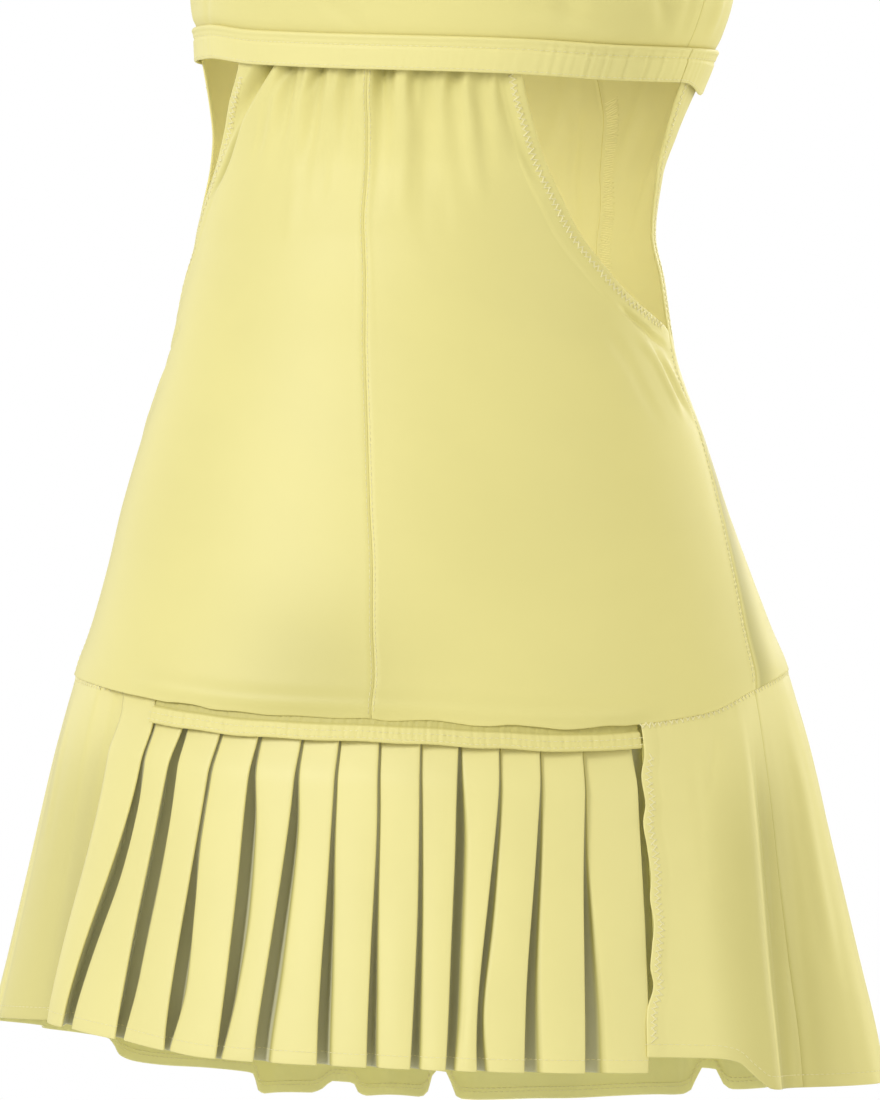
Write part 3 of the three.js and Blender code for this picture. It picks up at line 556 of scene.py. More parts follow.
def back_seam(z):
    return curve(BACK_SEAM, z)


def between_seams(start, end, part, z):
    """An angle part of the way from one seam to the next, half a gap clear of each."""
    first = start + SEAM_GAP / 2 * degrees_per_mm(start, z)
    last = end - SEAM_GAP / 2 * degrees_per_mm(end, z)
    return mix(first, last, part)


# %% [markdown]
# ## Creases placed one by one
#
# A crease in real cloth is a soft trough or ridge that starts at a seam, wanders a little and fades
# out. A simulation would put them where it likes, so here each one is a short path on the dress with a
# width and a depth, taken from the picture. The cloth moves in or out with a round profile
# across the path, and fades towards both ends of it.

# %% Creases and distances on the cloth
CREASE_POINTS = 12
CREASE_FADE = 0.3
SHORTEST = 1e-9


def distance_to_path(points, path):
    """How far each point lies from a path in space, and how far along it, from 0 to 1."""
    lengths = np.linalg.norm(np.diff(path, axis=0), axis=1)
    starts = np.concatenate([[0], np.cumsum(lengths)])
    nearest = np.full(points.shape[:-1], np.inf)
    along = np.zeros(points.shape[:-1])
    for begin, end, length, before in zip(path[:-1], path[1:], lengths, starts):
        way = (end - begin) / max(length, SHORTEST)
        part = np.clip((points - begin) @ way, 0, length)
        gap = np.linalg.norm(points - begin - part[..., None] * way, axis=-1)
        closer = gap < nearest
        nearest = np.where(closer, gap, nearest)
        along = np.where(closer, (before + part) / starts[-1], along)
    return nearest, along


def creased(points, creases, fade=CREASE_FADE):
    """How far the creases move each point out, in millimetres. A crease is its path as angles and
    heights, its half width and its depth, which is negative for a trough."""
    total = np.zeros(points.shape[:-1])
    for path, half_width, depth in creases:
        angles, heights = np.array(path, float).T
        steps = np.linspace(0, 1, CREASE_POINTS)
        order = np.linspace(0, 1, len(path))
        line = on_ring(np.interp(steps, order, angles), np.interp(steps, order, heights))
        gap, along = distance_to_path(points, line)
        ends = smooth(along / fade) * smooth((1 - along) / fade)
        total += depth * hill(gap / half_width) * ends
    return total

# %% [markdown]
# ## The bodice
#
# A smooth sleeveless top in two pieces, with wide straps cut in one with it. Each half of a piece is a
# short table from the band up: its outer edge is the side seam and then the armhole, its inner edge is
# the centre line and then the neckline. The halves are sewn where their points share the centre line.
# Only the lowest part of the bodice is in the picture, so the rest is finished plainly. Its armholes
# and neck get a turned hem, and its lower edge goes in behind the band.

# %% Bodice tables: row, outer angle and height, inner angle and height
BODICE_FRONT = [
    (0, 82, -334, 0, -329), (1, 82.5, -305, 0, -300), (2, 83, -275, 0, -265), (3, 84, -245, 0, -230),
    (4, 85, -214, 0, -197), (5, 76, -208, 0, -177), (6, 68, -190, 0, -160), (7, 62.5, -163, 14, -153),
    (8, 59, -135, 23, -136), (9, 57, -105, 28.5, -110), (10, 56, -75, 31.5, -78),
    (11, 56.5, -45, 33, -46), (12, 58, -20, 34, -20), (13, 59, -7, 34.5, -7), (14, 60, -1.2, 35, -1.2),
    (15, 60, 0.3, 35, 0.3), (16, 60, 0.5, 35, 0.5),
]
BODICE_BACK = [
    (0, 98, -334, 0, -322), (1, 97.5, -305, 0, -290), (2, 97, -275, 0, -258), (3, 96, -245, 0, -225),
    (4, 95, -214, 0, -192), (5, 83, -208, 0, -165), (6, 73, -190, 0, -140), (7, 65, -163, 0, -118),
    (8, 60, -135, 0, -97), (9, 57, -105, 17, -94), (10, 56, -75, 27, -72), (11, 56.5, -45, 32, -45),
    (12, 58, -20, 34, -20), (13, 59, -7, 34.5, -7), (14, 60, -1.2, 35, -1.2), (15, 60, 0.3, 35, 0.3),
    (16, 60, 0.5, 35, 0.5),
]
SIDE_ROW = 4
SHOULDER = {
    "slope": 0.28, "from": 78.0, "starts": -110.0, "closes": 13.5, "end": 16.0, "share": 0.95, "flat": 0.7,
}
BODICE = {
    "width": 100, "columns": 62, "tuck": 3.0, "tuck_in": 0.9, "tuck_reach": 5.0, "hem": 9.0,
    "hem_stands": 0.45, "hem_step": 1.5,
}
BODICE_STEPS = np.concatenate([np.arange(0, 4, 0.09), np.arange(4, 12, 0.12), np.linspace(12, 16, 25)])
BODICE_CREASES = [
    ([(-12, -308), (-3, -322), (2, -332)], 6, -0.8),
    ([(30, -316), (44, -322), (60, -330)], 6, -0.9),
    ([(44, -296), (56, -310), (68, -326)], 8, 1.3),
    ([(58, -290), (66, -308), (72, -330)], 7, -1.6),
    ([(76, -280), (77, -300), (77, -334)], 4, -0.9),
    ([(90, -270), (91, -300), (91, -334)], 9, 1.8),
    ([(36, -286), (42, -306), (46, -330)], 12, -1.5),
    ([(-46, -296), (-50, -312), (-52, -320)], 4, -0.8),
    ([(-62, -290), (-64, -306), (-66, -318)], 5, 0.8),
    ([(60, -215), (50, -232), (36, -242)], 9, -1.2),
    ([(-60, -215), (-48, -234), (-34, -244)], 9, -1.1),
    ([(72, -240), (64, -262), (56, -276)], 8, -0.9),
    ([(128, -220), (140, -240), (150, -270)], 9, -1.1),
    ([(-126, -222), (-138, -246), (-146, -275)], 9, -1.0),
    ([(170, -200), (178, -250), (184, -300)], 10, -0.8),
]


def bodice_half(facing, side, rows):
    """One half of a bodice piece, as a grid of points, and how high its hem stands."""
    at = BODICE_STEPS[:, None]
    part = spread(BODICE["width"], BODICE["width"] / BODICE["columns"])[None, :]
    heights = mix(curve(rows, at, 2), curve(rows, at, 4), part)
    above = curve(rows, np.ones((1, 1)), 2), curve(rows, np.ones((1, 1)), 4)
    outer = curve(rows, at, 1)
    outer = outer - SEAM_GAP / 2 * degrees_per_mm(outer, heights)
    part_angle = mix(outer, curve(rows, at, 3), part)
    angle = facing + side * part_angle
    low = mix(band_top(angle) - BODICE["tuck"], mix(*above, part), np.clip(at, 0, 1))
    z = np.where(at < 1, low, heights)
    tuck = BODICE["tuck_in"] * (1 - smooth((z - band_top(angle)) / BODICE["tuck_reach"]))
    smooth_points = on_ring(angle, z)
    moved = creased(smooth_points, BODICE_CREASES) - tuck
    edges = from_edges(smooth_points, ("start", "end"))
    outer_side = (at > SIDE_ROW) & (part < 0.5)
    inner_side = (curve(rows, at, 3) > 0.5) & (part > 0.5)
    double = 1 - smooth((edges - BODICE["hem"] + 1) / BODICE["hem_step"])
    hem = np.where(outer_side | inner_side, double, 0.0)
    points = on_ring(angle, z, moved + BODICE["hem_stands"] * hem)
    closing = smooth((at - SHOULDER["closes"]) / (SHOULDER["end"] - SHOULDER["closes"]))
    across = on_ring(180 - angle, z) - smooth_points
    points = points + across / 2 * SHOULDER["share"] * closing[..., None]
    sloping = smooth((z - SHOULDER["starts"]) / -SHOULDER["starts"])
    points[..., 2] -= SHOULDER["slope"] * np.maximum(0, np.abs(points[..., 0]) - SHOULDER["from"]) * sloping
    sewn = (curve(rows, at, 3) < 0.5) & (part > 0.5)
    rounded = np.where(sewn, 0.0, 1 - SHOULDER["flat"] * closing)
    grids = [grid[::-1] for grid in (points, hem, rounded)]
    return grids if side < 0 else [grid[:, ::-1] for grid in grids]


GRIDS = {}


def bodice(name, facing, rows):
    """A bodice piece: two halves sewn down the centre."""
    halves = []
    for side, label in ((1, "left"), (-1, "right")):
        points, hem, rounded = bodice_half(facing, side, rows)
        GRIDS[f"{name}.{label}"] = points
        halves.append(sheet_of(points, CLOTH["body"] + BODICE["hem_stands"] * hem, rounded))
    return cloth_piece(name, join(*halves), bodice_cloth, inner_cloth)


pieces = {
    "bodice_front": bodice("bodice_front", 0, BODICE_FRONT),
    "bodice_back": bodice("bodice_back", 180, BODICE_BACK),
}

# %% [markdown]
# ## The underbust band
#
# The band is one strip of the same cloth stitched over elastic, 17.5 mm high. Its top edge is a small
# rolled ridge, a line of stitching pulls it in a third of the way down, and the elastic gathers it
# into short upright puckers, strongest at the wearer's left. It stands off the body at its lower edge,
# which throws the thin dark line under it.

# %% Band
BAND = {
    "height": 17.5, "middle": -330.0, "stand_top": 1.0, "stand_bottom": 3.4, "side": 83.0,
    "rows": 26, "spacing": 1.76, "calm_to": 0.2,
}
BAND_RIDGE = {"at": 0.09, "width": 0.11, "high": 0.7}
BAND_GROOVE = {"at": 0.33, "width": 0.07, "deep": 0.55}
PUCKERS = {
    "waves": (0.61, 0.37, 0.23), "high": 0.22, "strong_at": 62.0, "strong_over": 30.0, "strong": 0.44,
}
PUCKER_SHIFT = 9
BAND_CORNER = {"at": 105.0, "over": 21.0, "drop": 5.5}


def puckers(angle, z, waves, amount):
    """Short irregular upright waves: a few frequencies, in turns a millimetre, that never line up."""
    along = angle / degrees_per_mm(angle, z)
    turns = sum(np.sin(2 * math.pi * wave * along + PUCKER_SHIFT * wave) for wave in waves)
    return amount * turns / len(waves)


def band_half(name, start, end):
    down = spread(BAND["height"], BAND["height"] / BAND["rows"])[:, None]
    length = abs(end - start) / degrees_per_mm((start + end) / 2, BAND["middle"])
    part = spread(length, BAND["spacing"])[None, :]
    angle = between_seams(start, end, part, band_top(start))
    stand = mix(BAND["stand_top"], BAND["stand_bottom"], down)
    ridge = BAND_RIDGE["high"] * hill((down - BAND_RIDGE["at"]) / BAND_RIDGE["width"])
    groove = BAND_GROOVE["deep"] * hill((down - BAND_GROOVE["at"]) / BAND_GROOVE["width"])
    strength = PUCKERS["high"] + PUCKERS["strong"] * hill((signed(angle) - PUCKERS["strong_at"])
                                                         / PUCKERS["strong_over"])
    wavy = puckers(angle, band_top(0), PUCKERS["waves"], strength) * smooth(down / BAND["calm_to"])
    corner = BAND_CORNER["drop"] * hill((signed(angle) - BAND_CORNER["at"]) / BAND_CORNER["over"]) * down**2
    z = band_top(angle) - BAND["height"] * down - corner
    points = on_ring(angle, z, stand + ridge - groove + wavy)
    GRIDS[name] = points
    return cloth_piece(name, sheet_of(points, CLOTH["band"]), band_cloth, inner_cloth)


pieces["band_front"] = band_half("band_front", -BAND["side"], BAND["side"])
pieces["band_back"] = band_half("band_back", BAND["side"], 360 - BAND["side"])

# %% [markdown]
# ## The fitted body
#
# Five panels run from the band to the seam of the flounce: two in front, joined down the centre, and
# three behind. The front is gathered under the band, so troughs start behind its edge and fade out a
# hand's width below. Each cut-out is finished with a turned hem, where the cloth is double and a band
# of crossed stitches draws it into fine ripples. At the bottom the body rolls out over the seam, and
# its edge waves a little over the pleats.

# %% Body tables
BODY_TUCK = {"up": 5.0, "in": 0.8, "fade": 30.0}
ROLL = {
    "out": 2.4, "above": 7.5, "reach": 6.0, "curl": 0.3, "curl_reach": 3.0, "side": 39.0, "fade": 9.0,
    "least": 0.12,
}
UNDER_BELLY = {"in": 2.6, "from": -606.0, "to": -658.0, "side": 60.0}
GATHER_DEPTH = 1.35
# Painted shade in the gathers just under the band.
GATHER_SHADE = {"full_at": 6.0, "below": 10.0, "most": 0.6}
# Painted shade along the cut-out's hem crease.
BORDER_SHADE = {"full_at": 1.7, "most": 0.3}
# Painted shade over the lower front of the body.
FRONT_SHADE = {"angle": -10.0, "over": 26.0, "z": -650.0, "height": 70.0, "most": 0.2}
# Painted shade on the back panel behind the side seam.
SHADE_BEHIND_SIDE_SEAM = {"from": 1.5, "over": 27.0, "below": -500.0, "fade": 60.0, "shade": 0.48}
GATHERS = [
    (-28.5, 4.0, 4.5, 60, -46), (-20.5, 4, 3.2, 60, -12), (-12.5, 4, 3, 75, -9), (-5, 3.6, 2.6, 60, -3),
    (4, 4.2, 3.2, 80, 0), (13.5, 4.6, 2.6, 100, 4), (20, 3.6, 2, 70, 8), (26, 3.4, 1.8, 60, 12),
    (31.5, 3, 1.6, 50, 16),
]
SMALL_GATHERS = [
    (-28, 2.0, 1.8, 24, -40), (-22.5, 1.8, 1.5, 20, -30), (-17, 1.6, 1.4, 22, -12), (-13, 1.4, 1.2, 18, -24),
    (-8.5, 1.4, 1.0, 16, -4), (-1.5, 1.3, 0.9, 14, 0), (2.6, 1.8, 1.5, 26, 4), (5.6, 1.4, 1.0, 16, 3),
    (10.8, 1.9, 1.6, 26, 5), (17, 1.6, 1.0, 18, 6), (20.5, 3.0, 1.2, 16, 8), (28.5, 1.3, 0.9, 14, 14),
]
BACK_GATHERS = [
    (-52, 6, 2, 70, -8), (-34, 5.5, 2.4, 80, -5), (-9, 5, 1.8, 60, 0), (10, 5.5, 2.2, 75, 2),
    (37, 5.5, 2, 65, 5), (55, 6, 2.2, 80, 8),
]
BODY_CREASES = [
    ([(-27, -352), (-31, -372), (-34, -392)], 5, -0.8),
    ([(-17, -356), (-18, -390), (-19, -440)], 8, 0.7),
    ([(-9, -352), (-10, -380), (-11, -420)], 6, -0.6),
    ([(9, -350), (10, -385), (11, -425)], 6, 0.7),
    ([(17, -350), (19, -395), (22, -440)], 8, -0.7),
    ([(24, -356), (27, -390), (31, -420)], 6, 0.6),
    ([(64, -462), (71, -471), (80, -481), (90, -487)], 2.6, -2.2),
    ([(70, -476), (78, -492), (82, -524)], 5.0, 1.8),
    ([(77, -484), (83, -498), (86, -520)], 3.2, -1.3),
    ([(82, -486), (87, -502), (90, -526)], 4.0, 1.2),
    ([(58, -470), (66, -495), (70, -530)], 7, -0.8),
    ([(-60, -470), (-74, -484), (-84, -490)], 4, -1.4),
    ([(-66, -488), (-76, -508), (-80, -534)], 6, 1.0),
    ([(104, -478), (118, -500), (134, -512)], 6, -1.4),
    ([(-104, -478), (-118, -502), (-136, -516)], 6, -1.3),
    ([(120, -360), (124, -395), (130, -430)], 8, -1.0),
    ([(-122, -362), (-126, -400), (-134, -436)], 8, -1.1),
    ([(150, -440), (170, -452), (192, -450)], 8, -1.2),
    ([(200, -432), (214, -446), (230, -470)], 8, -1.0),
    ([(176, -560), (178, -600), (180, -640)], 10, 0.8),
    ([(171, -340), (163, -376), (157, -403), (153, -430)], 6, 1.5),
]
LIP_DROP = {"down": 0.6, "side": 45}
EDGE_WAVES = [
    (-42, 0), (-37, -0.4), (-34, 0.3), (-31, 0.6), (-27, -0.3), (-22, 0.2), (-17, -0.4), (-12, 0.1),
    (-6, -0.2), (-1, 0.4), (2, -0.5), (6, 0.3), (9, 0.8), (13, -0.2), (15, -0.7), (17, -0.6), (21, 0.7),
    (25, 0.1), (29, -0.8), (32, -0.3), (36, 0.6), (39, 0),
]
CUTOUT_HEM = {"width": 11.0, "step": 1.2, "stands": 0.5, "ripple": 0.2, "ripple_length": 2.9}
HEM_CREASES = {
    "body_front_right": ([(-32, -340), (-36.5, -355), (-41.5, -368), (-48.5, -390), (-58, -412)], 3.0, -1.7),
    "body_front_left": ([(30, -346), (34, -366), (38, -385), (46, -410)], 3.5, -0.6),
}
SEAM_DIP = {"deep": 0.35, "reach": 1.0, "ridge": 0.32, "ridge_at": 2.2, "ridge_reach": 1.4}
SEWN_ROUNDING = 0.35
SEWN_BELOW_TIP = {"from": 2, "over": 4}
GATHER_SLANT_IN = 100


def gather_depth(gathers, angle, below):
    depth = 0.0
    for middle, half_width, deep, length, slant in gathers:
        fade = 1 - smooth(below / length)
        depth = depth + deep * fade * hill((angle - middle - slant * below / GATHER_SLANT_IN) / half_width)
    return depth


def roll_out(angle, above):
    """The roll over the pleats, which fades where the flounce is sewn on flat."""
    swell = np.exp(-(((above - ROLL["above"]) / ROLL["reach"]) ** 2))
    rolled = ROLL["out"] * swell - ROLL["curl"] * np.exp(-((above / ROLL["curl_reach"]) ** 2))
    return rolled * mix(1.0, ROLL["least"], smooth((np.abs(signed(angle)) - ROLL["side"]) / ROLL["fade"]))


def gathered(angle, below):
    """How deep the gathers of the front lie under the band."""
    return GATHER_DEPTH * gather_depth(GATHERS + SMALL_GATHERS, signed(angle), below)


def below_band(angle, z):
    return np.maximum(0, band_top(angle) - BAND["height"] - z)


def gather_shade(angle, z):
    """Painted shade in the gathers close under the band, where they are deepest."""
    below = below_band(angle, z)
    deep = np.clip(gathered(angle, below) / GATHER_SHADE["full_at"], 0, 1)
    return GATHER_SHADE["most"] * deep * np.exp(-below / GATHER_SHADE["below"])


def body_out(angle, z):
    """How far the body stands out of the ring: tucked in under the band, gathered, rolled at its edge."""
    below = below_band(angle, z)
    tucked = BODY_TUCK["in"] * (1 - smooth(below / BODY_TUCK["fade"]))
    back = gather_depth(BACK_GATHERS, signed(angle - 180), below)
    fall = smooth((UNDER_BELLY["from"] - z) / (UNDER_BELLY["from"] - UNDER_BELLY["to"]))
    belly = UNDER_BELLY["in"] * fall * hill(signed(angle) / UNDER_BELLY["side"])
    return roll_out(angle, z - waist_seam(angle)) - tucked - gathered(angle, below) - back - belly


def seam_relief(gap):
    """The cloth dips into a seam, and the allowance behind it lifts a faint ridge beside it."""
    dip = SEAM_DIP["deep"] * np.exp(-((gap / SEAM_DIP["reach"]) ** 2))
    ridge = SEAM_DIP["ridge"] * np.exp(-(((gap - SEAM_DIP["ridge_at"]) / SEAM_DIP["ridge_reach"]) ** 2))
    return ridge - dip


def turned_up(gap, hem):
    """1 where a hem is double cloth, and 0 beyond the line that it is sewn down by."""
    return 1 - smooth((gap - hem["width"] + hem["step"] / 2) / hem["step"])


def hem_relief(gap, along, hem):
    """The turned hem of a cut-out: double cloth, drawn into ripples across its edge."""
    inside = 1 - smooth((gap - hem["width"]) / hem["step"])
    ripple = hem["ripple"] * np.sin(2 * math.pi * along / hem["ripple_length"])
    return inside * (hem["stands"] + ripple * hill((gap - hem["width"] / 2) / (hem["width"] / 2)))


PANEL_SPACING = 2.2
BODY_ROWS = np.concatenate([
    np.linspace(0, 0.44, 96)[:-1], np.linspace(0.44, 0.93, 78)[:-1], np.linspace(0.93, 0.997, 18),
    [0.9985, 0.9994, 1.0],
])


def body_panel(name, length, start_edge, end_edge, seams, cutout=None):
    """A panel of the body between two edges. seams are its sewn sides; cutout is the side, and the
    height, where the edge is the hem of a cut-out."""
    down = BODY_ROWS[:, None]
    height = mix(SIDE_TOP, SIDE_SEAM_END, down)
    part = spread(length, PANEL_SPACING)[None, :]
    angle = between_seams(start_edge(height), end_edge(height), part, height)
    lower = waist_seam(angle) + curve(EDGE_WAVES, signed(angle))
    lower = lower - LIP_DROP["down"] * hill(signed(angle) / LIP_DROP["side"])
    z = mix(band_top(angle) - BODY_TUCK["up"], lower, down)
    base = on_ring(angle, z, body_out(angle, z))
    border = creased(base, [HEM_CREASES[name]] if name in HEM_CREASES else [])
    relief = creased(base, BODY_CREASES) + border
    # Painted shade, which darkens the colour: in the gathers under the band and along the hem crease.
    shade = gather_shade(angle, z) + BORDER_SHADE["most"] * np.clip(-border / BORDER_SHADE["full_at"], 0, 1)
    # Painted shade over the lower front of the body.
    low_front = hill((signed(angle) - FRONT_SHADE["angle"]) / FRONT_SHADE["over"])
    shade = shade + FRONT_SHADE["most"] * low_front * hill((z - FRONT_SHADE["z"]) / FRONT_SHADE["height"])
    # Painted shade on the back panel just behind the side seam.
    if name == "body_back_left":
        behind = from_edges(base, ("start",)) - SHADE_BEHIND_SIDE_SEAM["from"]
        low = smooth((SHADE_BEHIND_SIDE_SEAM["below"] - z) / SHADE_BEHIND_SIDE_SEAM["fade"])
        fading = 1 - smooth(behind / SHADE_BEHIND_SIDE_SEAM["over"])
        shade = shade + SHADE_BEHIND_SIDE_SEAM["shade"] * low * (behind > 0) * fading
    thickness = np.full(angle.shape, CLOTH["body"])
    rounded = np.ones(angle.shape)
    for side in seams:
        gap = from_edges(base, (side,))
        below_tip = smooth((CUTOUT_TIP - SEWN_BELOW_TIP["from"] - height) / SEWN_BELOW_TIP["over"])
        sewn = below_tip if side == cutout else 1.0
        relief = relief + sewn * seam_relief(gap)
        rounded = np.minimum(rounded, np.where(gap < PINCH["reach"], mix(1.0, SEWN_ROUNDING, sewn), 1.0))
    if cutout is not None:
        edge = base[:, :1] if cutout == "start" else base[:, -1:]
        above = edge[height[:, 0] > CUTOUT_TIP - 1, 0]
        gap, along = distance_to_path(base, above)
        run = along * np.linalg.norm(np.diff(above, axis=0), axis=1).sum()
        hem = hem_relief(gap, run, CUTOUT_HEM)
        relief = relief + hem
        thickness = thickness + np.maximum(0, hem)
    points = on_ring(angle, z, body_out(angle, z) + relief)
    GRIDS[name] = points
    sheet = sheet_of(points, thickness, rounded, np.clip(shade, 0, 1))
    return cloth_piece(name, sheet, body_cloth, inner_cloth)


BODY_PANELS = {
    "body_front_left": (190, centre_seam, lambda z: front_side_edge(LEFT, z), ("start", "end"), "end"),
    "body_front_right": (190, lambda z: -front_side_edge(RIGHT, z), centre_seam, ("start", "end"), "start"),
    "body_back_left": (130, lambda z: back_side_edge(LEFT, z), lambda z: 180 - back_seam(z),
                       ("start", "end"), "start"),
    "body_back_centre": (125, lambda z: 180 - back_seam(z), lambda z: 180 + back_seam(z),
                         ("start", "end")),
    "body_back_right": (135, lambda z: 180 + back_seam(z), lambda z: 360 - back_side_edge(RIGHT, z),
                        ("start", "end"), "end"),
}
for panel, shape in BODY_PANELS.items():
    pieces[panel] = body_panel(panel, *shape)

# %% [markdown]
# ## The stitched strip over the pleats
#
# The tops of the pleats are held under a narrow strip sewn along the seam. Its two lines of stitching
# bunch the layers below it, so it is covered in tiny upright puckers, and it dips where the deep folds
# pull on it.

# %% Strip
STRIP = {
    "from": -40.0, "to": 41.6, "middle": -675.0, "above": 1.8, "height": 13.6, "in": 1.3, "rows": 28,
    "spacing": 0.98,
}
# The strip's upper part steps in under the body's lip and takes painted shade.
STRIP_STEP = {"at": 0.44, "over": 0.08, "in": 1.9, "shade": 0.3}
STRIP_RIDGE = {"at": 0.92, "width": 0.08, "high": 0.45, "calms": 0.7}
STRIP_PUCKERS = {"waves": (0.53, 0.31, 0.71, 0.17), "high": 0.42}
STRIP_EDGE_WAVES = [
    (-40, 0), (-34, 0.3), (-29, -0.2), (-22, 0.3), (-16, -0.2), (-9, 0.2), (-2, -0.3), (4, 0.2),
    (9, -0.2), (15, 0.4), (20, -0.3), (26, 0.3), (33, -0.2), (40, 0),
]


def pleat_strip():
    down = spread(STRIP["height"], STRIP["height"] / STRIP["rows"])[:, None]
    length = (STRIP["to"] - STRIP["from"]) / degrees_per_mm(0, STRIP["middle"])
    angle = mix(STRIP["from"], STRIP["to"], spread(length, STRIP["spacing"])[None, :])
    z = waist_seam(angle) + STRIP["above"] - (STRIP["height"] + curve(STRIP_EDGE_WAVES, angle)) * down
    wavy = puckers(angle, STRIP["middle"], STRIP_PUCKERS["waves"], STRIP_PUCKERS["high"])
    under_lip = 1 - smooth((down - STRIP_STEP["at"] + STRIP_STEP["over"]) / STRIP_STEP["over"])
    ridge = STRIP_RIDGE["high"] * hill((down - STRIP_RIDGE["at"]) / STRIP_RIDGE["width"])
    calm = 1 - STRIP_RIDGE["calms"] * hill((down - STRIP_RIDGE["at"]) / (2 * STRIP_RIDGE["width"]))
    points = on_ring(angle, z, ridge - STRIP_STEP["in"] * under_lip - STRIP["in"] + wavy * calm)
    GRIDS["pleat_strip"] = points
    # Painted shade on the upper part, under the lip.
    sheet = sheet_of(points, CLOTH["strip"], shade=STRIP_STEP["shade"] * under_lip + 0 * angle)
    return cloth_piece("pleat_strip", sheet, strip_cloth, inner_cloth)


pieces["pleat_strip"] = pleat_strip()

# %% [markdown]
# ## The knife pleats
#
# Thirteen pleats all lie to the wearer's left: each face is flat, folds back sharply at its edge, and
# the next face rises softly from under it. The folds are pressed, so they stay straight, but the gap
# beside each one opens towards the hem by its own amount, because the cloth was steamed and has moved.
# Each row of the panel is one zigzag line through all the folds, and the rows are close together, so
# each fold can drift a little on its way down.

# %% Pleat tables: the angle of the fold at four heights, then the gap beside it at five
PLEATS = [
    (-41, -41, -47.5, -49, 0.4, 3.0, 5.4, 5.0, 4.0),
    (-33, -34.5, -36.5, -37, 2.6, 5.0, 6.0, 5.6, 2.8),
    (-25.5, -26.5, -28, -28, 0.6, 0.9, 3.6, 6.0, 1.4),
    (-18.5, -19, -19.5, -20, 1.6, 5.3, 6.3, 4.6, 1.6),
    (-11.5, -12, -14, -14.5, 0.9, 4.0, 5.8, 6.8, 6.6),
    (-5.5, -5.5, -6, -6, 0.6, 1.5, 3.4, 5.0, 5.5),
    (0.5, 1, 0.5, 0.5, 0.5, 0.9, 2.2, 3.4, 4.1),
    (7, 7, 6.5, 6, 0.5, 1.3, 2.0, 3.0, 3.9),
    (13, 12, 11, 10.5, 2.0, 4.4, 4.7, 4.6, 3.8),
    (19, 17.5, 14.8, 14.5, 0.6, 2.0, 3.0, 2.4, 4.2),
    (25.5, 23.5, 21, 20.5, 0.6, 2.2, 3.8, 5.3, 6.8),
    (32.5, 30.5, 29, 28.5, 0.5, 1.6, 4.6, 7.0, 8.2),
    (40.7, 39.4, 38.1, 37.2, 3.5, 4.5, 4.5, 3.5, 2.5),
]
GAP_STATIONS = (0.0, 0.15, 0.36, 0.6, 0.81, 1.0)
PANEL_EDGE = (-51.5, -49.5, -53.5, -54)
PANEL_EDGE_IN = 1.5
STATIONS = (0.0, 0.36, 0.81, 1.0)
PLEAT_HEM = [(-54, -830), (-37, -835), (-20, -842), (0, -844), (20, -846), (37, -847)]
PLEAT = {
    "crest_radius": 0.7, "valley_radius": 0.35, "undercut": (6.0, 8.0), "depth": (1.6, 9.0),
    "deep_at": 5.0, "stitched_in": 4.4, "stitched_to": 0.06, "free_from": 0.2, "bow": 0.8,
    "rise_beyond_gap": 1.35, "rise_at_least": 0.8, "shade_of_gap": 0.7, "tuck_up": 1.6, "rows": 69,
    "lean": 2.1, "softness": 0.6, "tail": 9.0, "tail_to": 0.66, "height": 170.0,
}
FACE_STEPS, CREST_STEPS, UNDER_STEPS, VALLEY_STEPS, RISE_STEPS = 13, 6, 4, 4, 7
DRIFT = {
    "waves": (1.3, 2.3, 3.9), "turns": 0.5, "shift": 0.37, "along": 0.3, "out": 0.3,
    "from": 0.1, "over": 0.3,
}
PLEAT_HEM_FOLD = {"width": 6.8, "step": 1.2, "stands": 0.35}


def through(stations, values, at):
    """The one smooth curve through a few stations, with no flat spot at any of them."""
    total = 0.0
    for i, value in enumerate(values):
        weight = 1.0
        for j, other in enumerate(stations):
            if i != j:
                weight = weight * (at - other) / (stations[i] - other)
        total = total + value * weight
    return total


def drift(number, down, size):
    """A slow wander of a fold on its way down, the same for one number every time."""
    turns = sum(np.sin(2 * math.pi * (wave * down * DRIFT["turns"] + number * DRIFT["shift"] * wave))
                for wave in DRIFT["waves"])
    return size * turns / len(DRIFT["waves"]) * smooth((down - DRIFT["from"]) / DRIFT["over"])


def pleat_gap(number, down):
    """How far the next face stays down beside a fold, in millimetres."""
    return curve(list(zip(GAP_STATIONS, (0.0, *PLEATS[number][4:]))), down)


